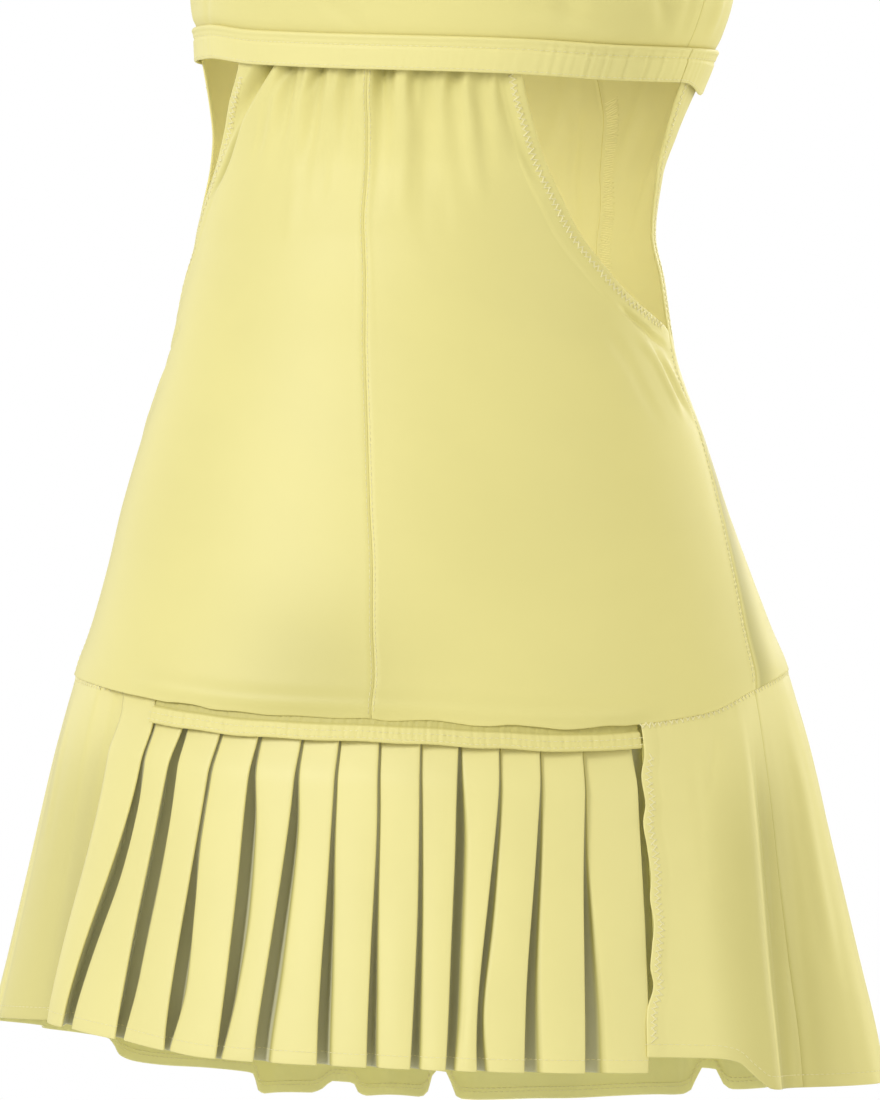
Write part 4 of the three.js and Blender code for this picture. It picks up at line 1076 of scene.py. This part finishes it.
def pleat_fold(number, down):
    """The outline of one fold from its crest to the next face: steps along the ring and outwards, and the
    painted shade that each one takes in the gap of the fold."""
    radius, turn = PLEAT["crest_radius"], PLEAT["valley_radius"]
    gap = pleat_gap(number, down)
    undercut = mix(*PLEAT["undercut"], down)
    depth = mix(*PLEAT["depth"], smooth(gap / PLEAT["deep_at"]))
    floor = depth + 2 * turn
    round_crest = np.radians(np.linspace(90, -90, CREST_STEPS + 1))
    crest = radius * (np.cos(round_crest) - 1), radius * (np.sin(round_crest) - 1), 0 * round_crest
    back = np.linspace(0, 1, UNDER_STEPS + 1)[1:-1]
    under = mix(-radius, -undercut, back), mix(-2 * radius, -depth, back), 1 + 0 * back
    round_valley = np.radians(np.linspace(90, 270, VALLEY_STEPS + 1))
    valley = (-undercut + turn * np.cos(round_valley), -depth - turn + turn * np.sin(round_valley),
              1 + 0 * round_valley)
    parts = [crest, under, valley]
    if number < len(PLEATS) - 1:
        width = PLEAT["rise_beyond_gap"] * gap + PLEAT["rise_at_least"]
        along = np.concatenate([-undercut / 2, width * np.linspace(0, 1, RISE_STEPS + 1)], axis=1)
        up = np.clip(along / width, 0, 1)
        out = -mix(floor, PLEAT["lean"], mix(up, smooth(up), PLEAT["softness"]))
        # Painted shade in the gap beside the fold, fading across the rising face.
        shaded = PLEAT["shade_of_gap"] * gap
        parts.append((along, out, 1 - smooth((along - shaded) / (width - shaded))))
    else:
        tail = PLEAT["tail"] * (1 - smooth((down - PLEAT["tail_to"]) / (1 - PLEAT["tail_to"])))
        along = mix(-undercut, tail, np.linspace(0, 1, RISE_STEPS + 1)[1:])
        # The tail under the flounce takes full painted shade.
        parts.append((along, 0 * along - floor, 1 + 0 * along))
    rows = len(down)
    return [np.concatenate([np.broadcast_to(part[axis], (rows, part[axis].shape[-1])) for part in parts],
                           axis=1) for axis in range(3)]


def pleat_rows():
    """The whole panel: its edge on the wearer's right, then face and fold, thirteen times."""
    down = spread(PLEAT["height"], PLEAT["height"] / PLEAT["rows"])[:, None]
    height = mix(waist_seam(0), PLEAT_HEM[0][1], down)
    freed = smooth((down - PLEAT["stitched_to"]) / (PLEAT["free_from"] - PLEAT["stitched_to"]))
    edge = through(STATIONS, PANEL_EDGE, down)
    angles, outs, shades = [edge], [np.full(edge.shape, -PANEL_EDGE_IN)], [0 * edge]
    across = np.linspace(0, 1, FACE_STEPS + 1)[1:-1]
    for number, pleat in enumerate(PLEATS):
        crest = through(STATIONS, pleat[:4], down)
        per_mm = degrees_per_mm(crest, height)
        crest = crest + drift(number, down, DRIFT["along"]) * per_mm
        along, out, shade = pleat_fold(number, down)
        fold = crest + along * per_mm
        start, start_out = angles[-1][:, -1:], outs[-1][:, -1:]
        bow = PLEAT["bow"] * down * 4 * across * (1 - across)
        wander = drift(number + 0.5, down, DRIFT["out"]) * 4 * across * (1 - across)
        angles += [mix(start, fold[:, :1], across), fold]
        outs += [mix(start_out, 0.0, across) + bow + wander, out]
        shades += [0 * (down * across), shade]
    angle = np.concatenate(angles, axis=1)
    out = np.concatenate(outs, axis=1) - PLEAT["stitched_in"] * (1 - freed)
    top = waist_seam(angle) + PLEAT["tuck_up"]
    return on_ring(angle, mix(top, curve(PLEAT_HEM, angle), down), out), np.concatenate(shades, axis=1)


def pleat_panel():
    points, shade = pleat_rows()
    hem = turned_up(from_edges(points, ("bottom",)), PLEAT_HEM_FOLD)
    GRIDS["pleat_panel"] = points
    sheet = sheet_of(points, CLOTH["skirt"] + PLEAT_HEM_FOLD["stands"] * hem, shade=shade)
    return cloth_piece("pleat_panel", sheet, skirt_cloth, inner_cloth)


pieces["pleat_panel"] = pleat_panel()

# %% [markdown]
# ## The flounce
#
# The flounce is cut wider at the hem than at the waist, so it falls in soft organ-pipe folds that swing
# out more and more on the way down. Its three pieces share one table of folds round the dress. The one
# at the wearer's left has a free front edge, turned and stitched, that waves beside the last pleat.

# %% Flounce tables
FLUTES = [
    (36, 0), (41, 3.5), (46, 9), (50, 12.5), (54.5, 14), (57.5, 7), (61, -3), (65, -10), (68.5, -13),
    (72, -11), (76, -4), (80, 4), (84, 10), (88, 10.5), (94, 2), (101, 6), (111, -8), (121, 8), (131, -9),
    (139, 6), (144.5, 4),
    (149, -10), (158, 7), (167, -6), (176, 7), (182, 3), (187, -11), (194, 6), (201, -11), (209, 7),
    (215.5, -8), (223, 6), (232, 3), (240, -9), (250, 8), (262, -8), (273, 8), (283, -3), (290, 5),
    (297, 1), (303, -6), (309, -9),
]
FLUTE_SLANT = {"degrees": 9.0, "at": 60.0, "over": 30.0, "power": 1.5}
# Painted shade in the flounce's valleys at the wearer's left, and beside the pleats at the wearer's right.
FLUTE_SHADE = [
    (36, 0), (45, 0), (49, 0.13), (53, 0.2), (55.4, 0.2), (56.2, 0.04), (57.4, 0.42), (61, 0.47),
    (66, 0.4), (72, 0.22), (78, 0.04), (83, 0), (92, 0.03), (100, 0), (278, 0), (288, 0.11),
    (300, 0.19), (311, 0.22),
]
SHADE_GROWS = 0.4
FLOUNCE_HEM = [
    (36, -839), (46, -840), (49, -842), (51.5, -850), (54, -856), (76, -860), (101, -859), (125, -867),
    (139.5, -877), (144.2, -878.5), (145.2, -877), (145.9, -868), (147.4, -867), (148.2, -878),
    (150, -881.5), (165, -886),
    (182, -890), (184.2, -889), (185, -886), (185.8, -874), (187.6, -873), (188.4, -884), (189.6, -888),
    (197, -888), (198.4, -886), (199.4, -880), (202.4, -879), (203.4, -883), (205, -886), (211.5, -886.5),
    (213, -884), (214, -875), (216, -873), (227, -869.5), (238, -862), (239, -860), (240, -856),
    (241.5, -851.5), (260, -842), (287, -831.5), (309, -829),
]
FLOUNCE = {
    "height": 185.0, "rows_apart": 2.9, "columns_apart": 2.3, "top_in": 1.1,
    "swing": (0.85, 1.15), "swing_from": 84.0, "swing_over": 20.0,
    "tuck_from": 302.0, "tuck_over": 4.0, "tuck_in": 5.5, "tuck_up": 2.6,
    "crease_fade": 0.35, "seam_share": 0.25,
}
FRONT_EDGE = [(0.0, 41.8), (0.1, 41.6), (0.36, 40.2), (0.6, 39.5), (0.8, 38.6), (0.9, 37.6), (1.0, 37.0)]
FRONT_WAVES = [
    (0.0, 0.0), (0.1, 0.2), (0.17, -0.5), (0.25, -0.1), (0.3, -0.5), (0.38, 0.2), (0.46, 0.5), (0.53, 0.1),
    (0.6, 0.5), (0.67, 0.0), (0.73, -0.3), (0.79, 0.3), (0.86, -0.3), (1.0, 0.0),
]
FLOUNCE_END = (311.0, 307.0)
FLOUNCE_SEAMS = (70.0, 277.0)
FLOUNCE_FOLD = {"width": 6.8, "step": 1.2, "stands": 0.4}
SEAM_PUCKERS = {"waves": (0.27, 0.19, 0.41), "high": 0.22, "reach": 0.09}
FRONT_HEM = {
    "width": 7.0, "step": 1.0, "stands": 0.5, "wave": 0.9, "waves": (2.6, 4.7), "shift": 0.2,
    "reach": 9.0, "from": 0.15,
}
FLOUNCE_CREASES = [
    ([(63.5, -676), (60.5, -714), (58.5, -739), (56, -790)], 5, 1.0),
    ([(68, -672), (65, -714), (63.5, -760), (62.5, -800)], 7, -1.6),
    ([(51, -684), (49.5, -738), (48, -780)], 6, -0.8),
    ([(57, -676), (54, -700), (51, -720)], 5, -0.8),
    ([(73, -664), (73, -700), (73, -760)], 5, 1.0),
    ([(80, -658), (80.5, -700), (79.5, -760), (79, -820)], 8, 1.4),
    ([(96, -660), (98, -700), (100, -760)], 8, 1.0),
    ([(128, -655), (130, -700), (131, -760)], 8, -1.2),
    ([(160, -655), (163, -700), (166, -750)], 8, 0.9),
    ([(196, -655), (199, -700), (201, -760)], 7, -1.2),
    ([(226, -655), (230, -710), (233, -770)], 8, 1.0),
    ([(258, -655), (261, -700), (262, -760)], 8, -1.1),
    ([(290, -660), (292, -700), (294, -750)], 7, 0.8),
]


def flounce(name, start_edge, end_edge, length, free_edge=False):
    down = spread(FLOUNCE["height"], FLOUNCE["rows_apart"])[:, None]
    height = mix(SIDE_SEAM_END, FLOUNCE_HEM[0][1], down)
    part = spread(length, FLOUNCE["columns_apart"])[None, :]
    angle = between_seams(start_edge(down), end_edge(down), part, height)
    z = mix(waist_seam(angle) + FLOUNCE["tuck_up"], curve(FLOUNCE_HEM, angle), down)
    slant = FLUTE_SLANT["degrees"] * (1 - down) ** FLUTE_SLANT["power"]
    swing = mix(*FLOUNCE["swing"], smooth((angle - FLOUNCE["swing_from"]) / FLOUNCE["swing_over"]))
    slanted = angle - slant * hill((angle - FLUTE_SLANT["at"]) / FLUTE_SLANT["over"])
    fold = curve(FLUTES, slanted) * down ** swing
    tuck = FLOUNCE["tuck_in"] * smooth((angle - FLOUNCE["tuck_from"]) / FLOUNCE["tuck_over"])
    out = fold - FLOUNCE["top_in"] * (1 - down) - tuck
    base = on_ring(angle, z, out)
    seam = 1 - smooth(down / SEAM_PUCKERS["reach"])
    detail = creased(base, FLOUNCE_CREASES, FLOUNCE["crease_fade"])
    detail = detail + puckers(angle, z, SEAM_PUCKERS["waves"], SEAM_PUCKERS["high"]) * seam
    if not free_edge:
        sewn = ("start", "end") if name == "flounce_back" else ("start",)
        detail = detail + seam_relief(from_edges(base, sewn)) * FLOUNCE["seam_share"]
    stands = FLOUNCE_FOLD["stands"] * turned_up(from_edges(base, ("bottom",)), FLOUNCE_FOLD)
    if free_edge:
        from_front = from_edges(base, ("start",))
        front = turned_up(from_front, FRONT_HEM)
        turns = [wave * down + FRONT_HEM["shift"] * wave for wave in FRONT_HEM["waves"]]
        waving = sum(np.sin(2 * math.pi * turn) for turn in turns) / 2
        near = np.exp(-((from_front / FRONT_HEM["reach"]) ** 2)) * smooth(down / FRONT_HEM["from"])
        detail = detail + FRONT_HEM["wave"] * waving * near
        stands = np.maximum(stands, FRONT_HEM["stands"] * front)
        detail = detail + FRONT_HEM["stands"] * front
    points = on_ring(angle, z, out + detail)
    GRIDS[name] = points
    # Painted shade, growing towards the hem.
    shade = curve(FLUTE_SHADE, slanted) * smooth(down / SHADE_GROWS)
    sheet = sheet_of(points, CLOTH["skirt"] + stands, shade=shade)
    return cloth_piece(name, sheet, skirt_cloth, skirt_inner_painted_light_cloth)


FLOUNCE_PIECES = {
    "flounce_left": (lambda down: curve(FRONT_EDGE, down) + curve(FRONT_WAVES, down),
                     lambda down: FLOUNCE_SEAMS[0] + 0 * down, 112, True),
    "flounce_back": (lambda down: FLOUNCE_SEAMS[0] + 0 * down,
                     lambda down: FLOUNCE_SEAMS[1] + 0 * down, 760),
    "flounce_right": (lambda down: FLOUNCE_SEAMS[1] + 0 * down, lambda down: mix(*FLOUNCE_END, down), 105),
}
for part, shape in FLOUNCE_PIECES.items():
    pieces[part] = flounce(part, *shape)

# %% [markdown]
# ## Sewing
#
# Every seam and hem of the real dress is sewn by machine: straight topstitching along the hems and the
# centre seam, and a zigzag of soft thread over the turned edges, which lets them stretch. A texture
# could draw it, but a raised thread catches the light as the real one does. Each line of sewing is a
# path on the cloth, a set distance in from an edge. Geometry Nodes put one small thread on every step
# of the path, lay it flat on the cloth and turn every other one the other way for a zigzag.

# %% The stitches' node tree
STITCH_SIDES, STITCH_RINGS = 6, 4


def stitch_tree():
    tree = bpy.data.node_groups.new("stitches", "GeometryNodeTree")
    tree.interface.new_socket("Geometry", in_out="INPUT", socket_type="NodeSocketGeometry")
    tree.interface.new_socket("Geometry", in_out="OUTPUT", socket_type="NodeSocketGeometry")
    for name in ("Spacing", "Length", "Width", "Slant", "Wobble"):
        tree.interface.new_socket(name, in_out="INPUT", socket_type="NodeSocketFloat")
    tree.interface.new_socket("Seed", in_out="INPUT", socket_type="NodeSocketInt")
    tree.interface.new_socket("Thread", in_out="INPUT", socket_type="NodeSocketMaterial")
    given = tree.nodes.new("NodeGroupInput")
    given = {socket.name: Value(tree, socket) for socket in given.outputs if socket.name}
    start = Value(tree, None)
    line = start.node("GeometryNodeMeshToCurve", Mesh=given["Geometry"])
    points = start.node("GeometryNodeCurveToPoints", {"mode": "LENGTH"}, Curve=line, Length=given["Spacing"])
    tangent = Value(tree, points.socket.node.outputs["Tangent"])
    facing = start.node("GeometryNodeInputNamedAttribute", {"data_type": "FLOAT_VECTOR"}, Name="facing")
    lying = start.node("FunctionNodeAxesToRotation", {"primary_axis": "Z", "secondary_axis": "X"},
                       Primary_Axis=tangent, Secondary_Axis=facing)
    index = start.node("GeometryNodeInputIndex")
    side = index.maths("MODULO", index, 2.0) * 2.0 - 1.0
    chance = start.node("FunctionNodeRandomValue", {"data_type": "FLOAT"}, output=1, n2=-1.0, n3=1.0,
                        Seed=given["Seed"])
    angle = side * given["Slant"] + chance * given["Wobble"]
    turning = start.node("FunctionNodeAxisAngleToRotation", Axis=(1.0, 0.0, 0.0), Angle=angle)
    turned = start.node("FunctionNodeRotateRotation", {"rotation_space": "LOCAL"},
                        Rotation=lying, Rotate_By=turning)
    half_width = given["Width"] * 0.5
    size = start.node("ShaderNodeCombineXYZ", X=half_width, Y=half_width, Z=given["Length"] * 0.5)
    thread_shape = start.node("GeometryNodeMeshUVSphere", Segments=STITCH_SIDES, Rings=STITCH_RINGS,
                              Radius=1.0)
    thread_shape = start.node("GeometryNodeSetShadeSmooth", Geometry=thread_shape)
    placed = start.node("GeometryNodeInstanceOnPoints", Points=points, Instance=thread_shape,
                        Rotation=turned, Scale=size)
    real = start.node("GeometryNodeRealizeInstances", Geometry=placed)
    finished = start.node("GeometryNodeSetMaterial", Geometry=real, Material=given["Thread"])
    result = tree.nodes.new("NodeGroupOutput")
    tree.links.new(finished.socket, result.inputs[0])
    return tree


STITCHES = stitch_tree()

# %% Lines of sewing on the cloth
KINDS = {
    "topstitch": {"Spacing": 0.0030, "Length": 0.0024, "Width": 0.00044, "Slant": 0.0, "Wobble": 0.05},
    "zigzag": {"Spacing": 0.0016, "Length": 0.0050, "Width": 0.00078, "Slant": 0.94, "Wobble": 0.2},
    "overlock": {"Spacing": 0.0013, "Length": 0.0105, "Width": 0.00052, "Slant": 1.52, "Wobble": 0.1},
}
THREAD_LIFT = 0.04
ALL_HEIGHTS = (-900, 10)


def line_along(name, side, distance, heights=ALL_HEIGHTS, inside=None):
    """A line on a piece, a set distance in from one edge, and the way the cloth faces there. Only the
    part between two heights is kept. inside is the thickness to go through for the inner face."""
    points = GRIDS[name]
    facing = outward_directions(points)
    if side in ("start", "end"):
        points, facing = points.transpose(1, 0, 2), facing.transpose(1, 0, 2)
    if side in ("bottom", "end"):
        points, facing = points[::-1], facing[::-1]
    steps = np.linalg.norm(np.diff(points, axis=0), axis=2)
    reach = np.concatenate([np.zeros((1, points.shape[1])), np.cumsum(steps, axis=0)])
    row = np.clip((reach < distance).sum(axis=0) - 1, 0, len(points) - 2)
    column = np.arange(points.shape[1])
    part = ((distance - reach[row, column]) / np.maximum(steps[row, column], SAME_POINT))[:, None]
    line = mix(points[row, column], points[row + 1, column], part)
    ways = unit(mix(facing[row, column], facing[row + 1, column], part))
    kept = (line[:, 2] > heights[0]) & (line[:, 2] < heights[1])
    line, ways = line[kept], ways[kept]
    if inside is not None:
        return line - ways * (inside + THREAD_LIFT), -ways
    return line + ways * THREAD_LIFT, ways


def sew(name, kind, lines, seed):
    """One object with all the stitches of one kind on one piece."""
    points = np.concatenate([line for line, _ in lines])
    facing = np.concatenate([ways for _, ways in lines])
    ends = np.cumsum([len(line) for line, _ in lines])
    order = np.arange(len(points) - 1)
    order = order[~np.isin(order + 1, ends)]
    mesh = bpy.data.meshes.new(f"{name}_{kind}")
    mesh.from_pydata((points * METRE).tolist(), np.stack([order, order + 1], axis=1).tolist(), [])
    mesh.attributes.new("facing", "FLOAT_VECTOR", "POINT").data.foreach_set("vector", facing.ravel())
    sewing = bpy.data.objects.new(f"{name}_{kind}", mesh)
    bpy.context.scene.collection.objects.link(sewing)
    modifier = sewing.modifiers.new("stitches", "NODES")
    modifier.node_group = STITCHES
    settings = {**KINDS[kind], "Seed": seed, "Thread": thread}
    for socket in STITCHES.interface.items_tree:
        if socket.in_out == "INPUT" and socket.name in settings:
            modifier[socket.identifier] = settings[socket.name]
    evaluated = sewing.evaluated_get(bpy.context.evaluated_depsgraph_get())
    threads = bpy.data.meshes.new_from_object(evaluated)
    sewing.modifiers.clear()
    sewing.data = threads
    threads.materials.clear()
    threads.materials.append(thread)
    print(f"{sewing.name}: {len(threads.polygons)} faces")
    return sewing


# %% Which lines are sewn
BODICE_HEM_AT, HEM_AT, CENTRE_AT, SIDE_AT = 7.0, 6.4, 1.4, (1.6, 3.4)
CUTOUT_HEIGHTS, BACK_CUTOUT_HEIGHTS, BELOW_CUTOUT = (-474, -346), (-478, -346), (-655, -485)
SKIRT_INSIDE = CLOTH["skirt"] + FLOUNCE_FOLD["stands"]
ARMHOLE, NECK, BACK_NECK = (-216, -3), (-178, -3), (-119, -3)
SEWING = {
    "bodice_front.left": [
        ("topstitch", "end", BODICE_HEM_AT, ARMHOLE), ("topstitch", "start", BODICE_HEM_AT, NECK),
    ],
    "bodice_front.right": [
        ("topstitch", "start", BODICE_HEM_AT, ARMHOLE), ("topstitch", "end", BODICE_HEM_AT, NECK),
    ],
    "bodice_back.left": [
        ("topstitch", "start", BODICE_HEM_AT, ARMHOLE), ("topstitch", "end", BODICE_HEM_AT, BACK_NECK),
    ],
    "bodice_back.right": [
        ("topstitch", "end", BODICE_HEM_AT, ARMHOLE), ("topstitch", "start", BODICE_HEM_AT, BACK_NECK),
    ],
    "band_front": [("topstitch", "top", 5.9), ("topstitch", "bottom", 1.6)],
    "band_back": [("topstitch", "top", 5.9), ("topstitch", "bottom", 1.6)],
    "body_front_left": [
        ("topstitch", "start", CENTRE_AT, (-669, -347)), ("zigzag", "end", 5.4, CUTOUT_HEIGHTS),
        ("topstitch", "end", SIDE_AT[0], BELOW_CUTOUT), ("topstitch", "end", SIDE_AT[1], BELOW_CUTOUT),
    ],
    "body_front_right": [
        ("topstitch", "end", CENTRE_AT, (-669, -347)), ("zigzag", "start", 5.4, CUTOUT_HEIGHTS),
        ("topstitch", "start", SIDE_AT[0], BELOW_CUTOUT), ("topstitch", "start", SIDE_AT[1], BELOW_CUTOUT),
    ],
    "body_back_left": [("zigzag", "start", 5.4, BACK_CUTOUT_HEIGHTS), ("topstitch", "end", CENTRE_AT)],
    "body_back_right": [("zigzag", "end", 5.4, BACK_CUTOUT_HEIGHTS), ("topstitch", "start", CENTRE_AT)],
    "body_back_centre": [("topstitch", "start", CENTRE_AT), ("topstitch", "end", CENTRE_AT)],
    "pleat_strip": [("topstitch", "bottom", 2.0), ("topstitch", "bottom", 5.4)],
    "pleat_panel": [("topstitch", "bottom", HEM_AT)],
    "flounce_left": [
        ("zigzag", "top", 3.2), ("topstitch", "bottom", HEM_AT), ("zigzag", "start", 3.6, (-832, -690)),
    ],
    "flounce_back": [("zigzag", "top", 3.2), ("topstitch", "bottom", HEM_AT)],
    "flounce_right": [("zigzag", "top", 3.2), ("topstitch", "bottom", HEM_AT)],
}
INNER_SEWING = {
    "body_back_left": [("overlock", "end", 6.5, (-640, -350), CLOTH["body"])],
    "body_back_right": [("overlock", "start", 6.5, (-640, -350), CLOTH["body"])],
    "flounce_back": [
        ("topstitch", "bottom", HEM_AT, (-900, 0), SKIRT_INSIDE),
        ("topstitch", "bottom", 4.4, (-900, 0), SKIRT_INSIDE),
    ],
}
sewn_on = {}
for number, name in enumerate([*SEWING]):
    owner = name.split(".")[0]
    by_kind = {}
    for kind, *where in SEWING[name] + INNER_SEWING.get(name, []):
        by_kind.setdefault(kind, []).append(line_along(name, *where))
    for kind, lines in by_kind.items():
        sewn_on.setdefault(owner, []).append(sew(name, kind, lines, number))

# %% [markdown]
# ## Light, floor and background
#
# The picture was lit softly: a broad light from the left of the camera and a little above, a weaker one
# from the right, and a white sweep behind. Two weaker ones reach round the sides, and one lights the
# back. The camera sees the background as plain white, while the cloth is lit by a dimmer one, so that
# the folds keep their shade. A worn dress would be dark inside. This one is seen as in a shop, where
# the inside is lit as well, so a small soft light hangs in the hollow behind the front and shines on
# the inner face of the back. The camera sees none of the lamps.

# %% Stage
LIGHTS = {
    "key": ((-1.8, -2.7, 0.8), (0.9, 1.3), 68.0, (0.99, 1.0, 1.13)),
    "fill": ((2.6, -2.1, -0.2), (1.8, 2.2), 22.0, (1.0, 0.98, 0.87)),
    "wrap_left": ((-2.4, 1.2, 0.3), (1.2, 1.8), 9.0, (1.0, 1.0, 1.0)),
    "wrap_right": ((2.4, 1.3, 0.0), (1.2, 1.8), 26.0, (1.0, 0.98, 0.90)),
    "back": ((0.9, 3.0, 0.6), (1.6, 1.6), 30.0, (1.0, 1.0, 1.0)),
}
INSIDE = {
    "place": (-0.006, -0.045, -0.44), "size": (0.15, 0.20), "power": 0.18, "colour": (1.0, 0.99, 0.94),
}
WORLD = {"seen": 1.0, "lighting": 0.42}
FLOOR = {
    "z": -1.35, "radius": 2.5, "corners": 64, "colour": (0.82, 0.82, 0.80), "darkest": 0.98,
    "grain": {"Scale": 40.0, "Detail": 2.0}, "roughness": 0.8,
}


def area_light(name, place, size, power, colour, target=CAMERA["target"]):
    data = bpy.data.lights.new(name, "AREA")
    data.color = colour
    data.shape = "RECTANGLE"
    data.size, data.size_y = size
    data.energy = power
    light = bpy.data.objects.new(name, data)
    light.location = place
    way = Vector(target) - Vector(place)
    light.rotation_euler = way.to_track_quat("-Z", "Y").to_euler()
    bpy.context.scene.collection.objects.link(light)
    return light


def make_world():
    world = bpy.data.worlds.new("studio")
    bpy.context.scene.world = world
    world.use_nodes = True
    tree = world.node_tree
    background = next(node for node in tree.nodes if node.type == "BACKGROUND")
    ray = tree.nodes.new("ShaderNodeLightPath")
    level = tree.nodes.new("ShaderNodeMapRange")
    tree.links.new(ray.outputs["Is Camera Ray"], level.inputs["Value"])
    level.inputs["To Min"].default_value = WORLD["lighting"]
    level.inputs["To Max"].default_value = WORLD["seen"]
    tree.links.new(level.outputs["Result"], background.inputs["Strength"])
    background.inputs["Color"].default_value = (1.0, 1.0, 1.0, 1.0)


def make_floor():
    around = np.linspace(0, 2 * math.pi, FLOOR["corners"] + 1)[:-1]
    rim = np.stack([np.cos(around), np.sin(around), 0 * around], axis=1) * FLOOR["radius"]
    rim[:, 2] = FLOOR["z"]
    mesh = bpy.data.meshes.new("floor")
    mesh.from_pydata(rim.tolist(), [], [list(range(len(rim)))])
    material, shader, start = new_material("floor_paint")
    where = start.node("ShaderNodeTexCoord", output=3)
    grain = start.node("ShaderNodeTexNoise", Vector=where, **FLOOR["grain"])
    dark = tuple(part * FLOOR["darkest"] for part in FLOOR["colour"])
    feed(start, shader, Base_Color=grain.blend(dark, FLOOR["colour"]))
    shader.inputs["Roughness"].default_value = FLOOR["roughness"]
    mesh.materials.append(material)
    floor = bpy.data.objects.new("floor", mesh)
    bpy.context.scene.collection.objects.link(floor)
    return floor


for light_name, light_settings in LIGHTS.items():
    area_light(light_name, *light_settings).visible_camera = False
behind = (INSIDE["place"][0], 1.0, INSIDE["place"][2])
inside = area_light("inside", INSIDE["place"], INSIDE["size"], INSIDE["power"], INSIDE["colour"], behind)
inside.visible_camera = False
make_world()
floor = make_floor()
bpy.context.scene.view_settings.view_transform = "Standard"

# %% [markdown]
# ## What each piece is
#
# Each sheet stands for the wall of the same name, which is hidden, and a table lists the size of the
# cloth that it was cut from. The pleated panel and the gathered pieces are wider flat than they hang.
# The flat areas leave out what the shape of a piece cuts away from its rectangle.

# %% Sheets: width, length and area flat, how each is held, and its slot
SHEETS = {
    "bodice_front": (0.46, 0.36, 0.084, "stretched", "bodice_cloth"),
    "bodice_back": (0.46, 0.36, 0.097, "stretched", "bodice_cloth"),
    "band_front": (0.42, 0.0175, 0.0073, "stretched", "band_cloth"),
    "band_back": (0.42, 0.0175, 0.0073, "stretched", "band_cloth"),
    "body_front_left": (0.24, 0.35, 0.057, "gathered", "body_cloth"),
    "body_front_right": (0.24, 0.35, 0.059, "gathered", "body_cloth"),
    "body_back_left": (0.16, 0.33, 0.043, "gathered", "body_cloth"),
    "body_back_centre": (0.19, 0.33, 0.047, "gathered", "body_cloth"),
    "body_back_right": (0.16, 0.33, 0.047, "gathered", "body_cloth"),
    "pleat_strip": (0.28, 0.011, 0.0030, "stretched", "strip_cloth"),
    "pleat_panel": (0.72, 0.17, 0.096, "folded", "skirt_cloth"),
    "flounce_left": (0.12, 0.19, 0.0175, "hung", "skirt_cloth"),
    "flounce_back": (0.80, 0.24, 0.146, "hung", "skirt_cloth"),
    "flounce_right": (0.14, 0.18, 0.016, "hung", "skirt_cloth"),
}


def measured(name):
    """The area of one face of a piece's sheet, in square metres, and its size along the cloth."""
    mesh = pieces[name].data
    areas = np.zeros(len(mesh.polygons), np.float32)
    mesh.polygons.foreach_get("area", areas)
    flat = np.zeros((len(mesh.loops), 2), np.float32)
    mesh.uv_layers["cloth"].data.foreach_get("uv", flat.ravel())
    return areas.sum() / 2, np.ptp(flat, axis=0)


for name, (width, length, area, held, slot) in SHEETS.items():
    found, size = measured(name)
    print(f"{name}: flat {size[0]:.3f} by {size[1]:.3f} m, {found:.4f} m2, declared {area:.4f} m2")
    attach(pieces[name], "root")
    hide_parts(name)
    for extra in sewn_on.get(name, []):
        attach(extra, "root")
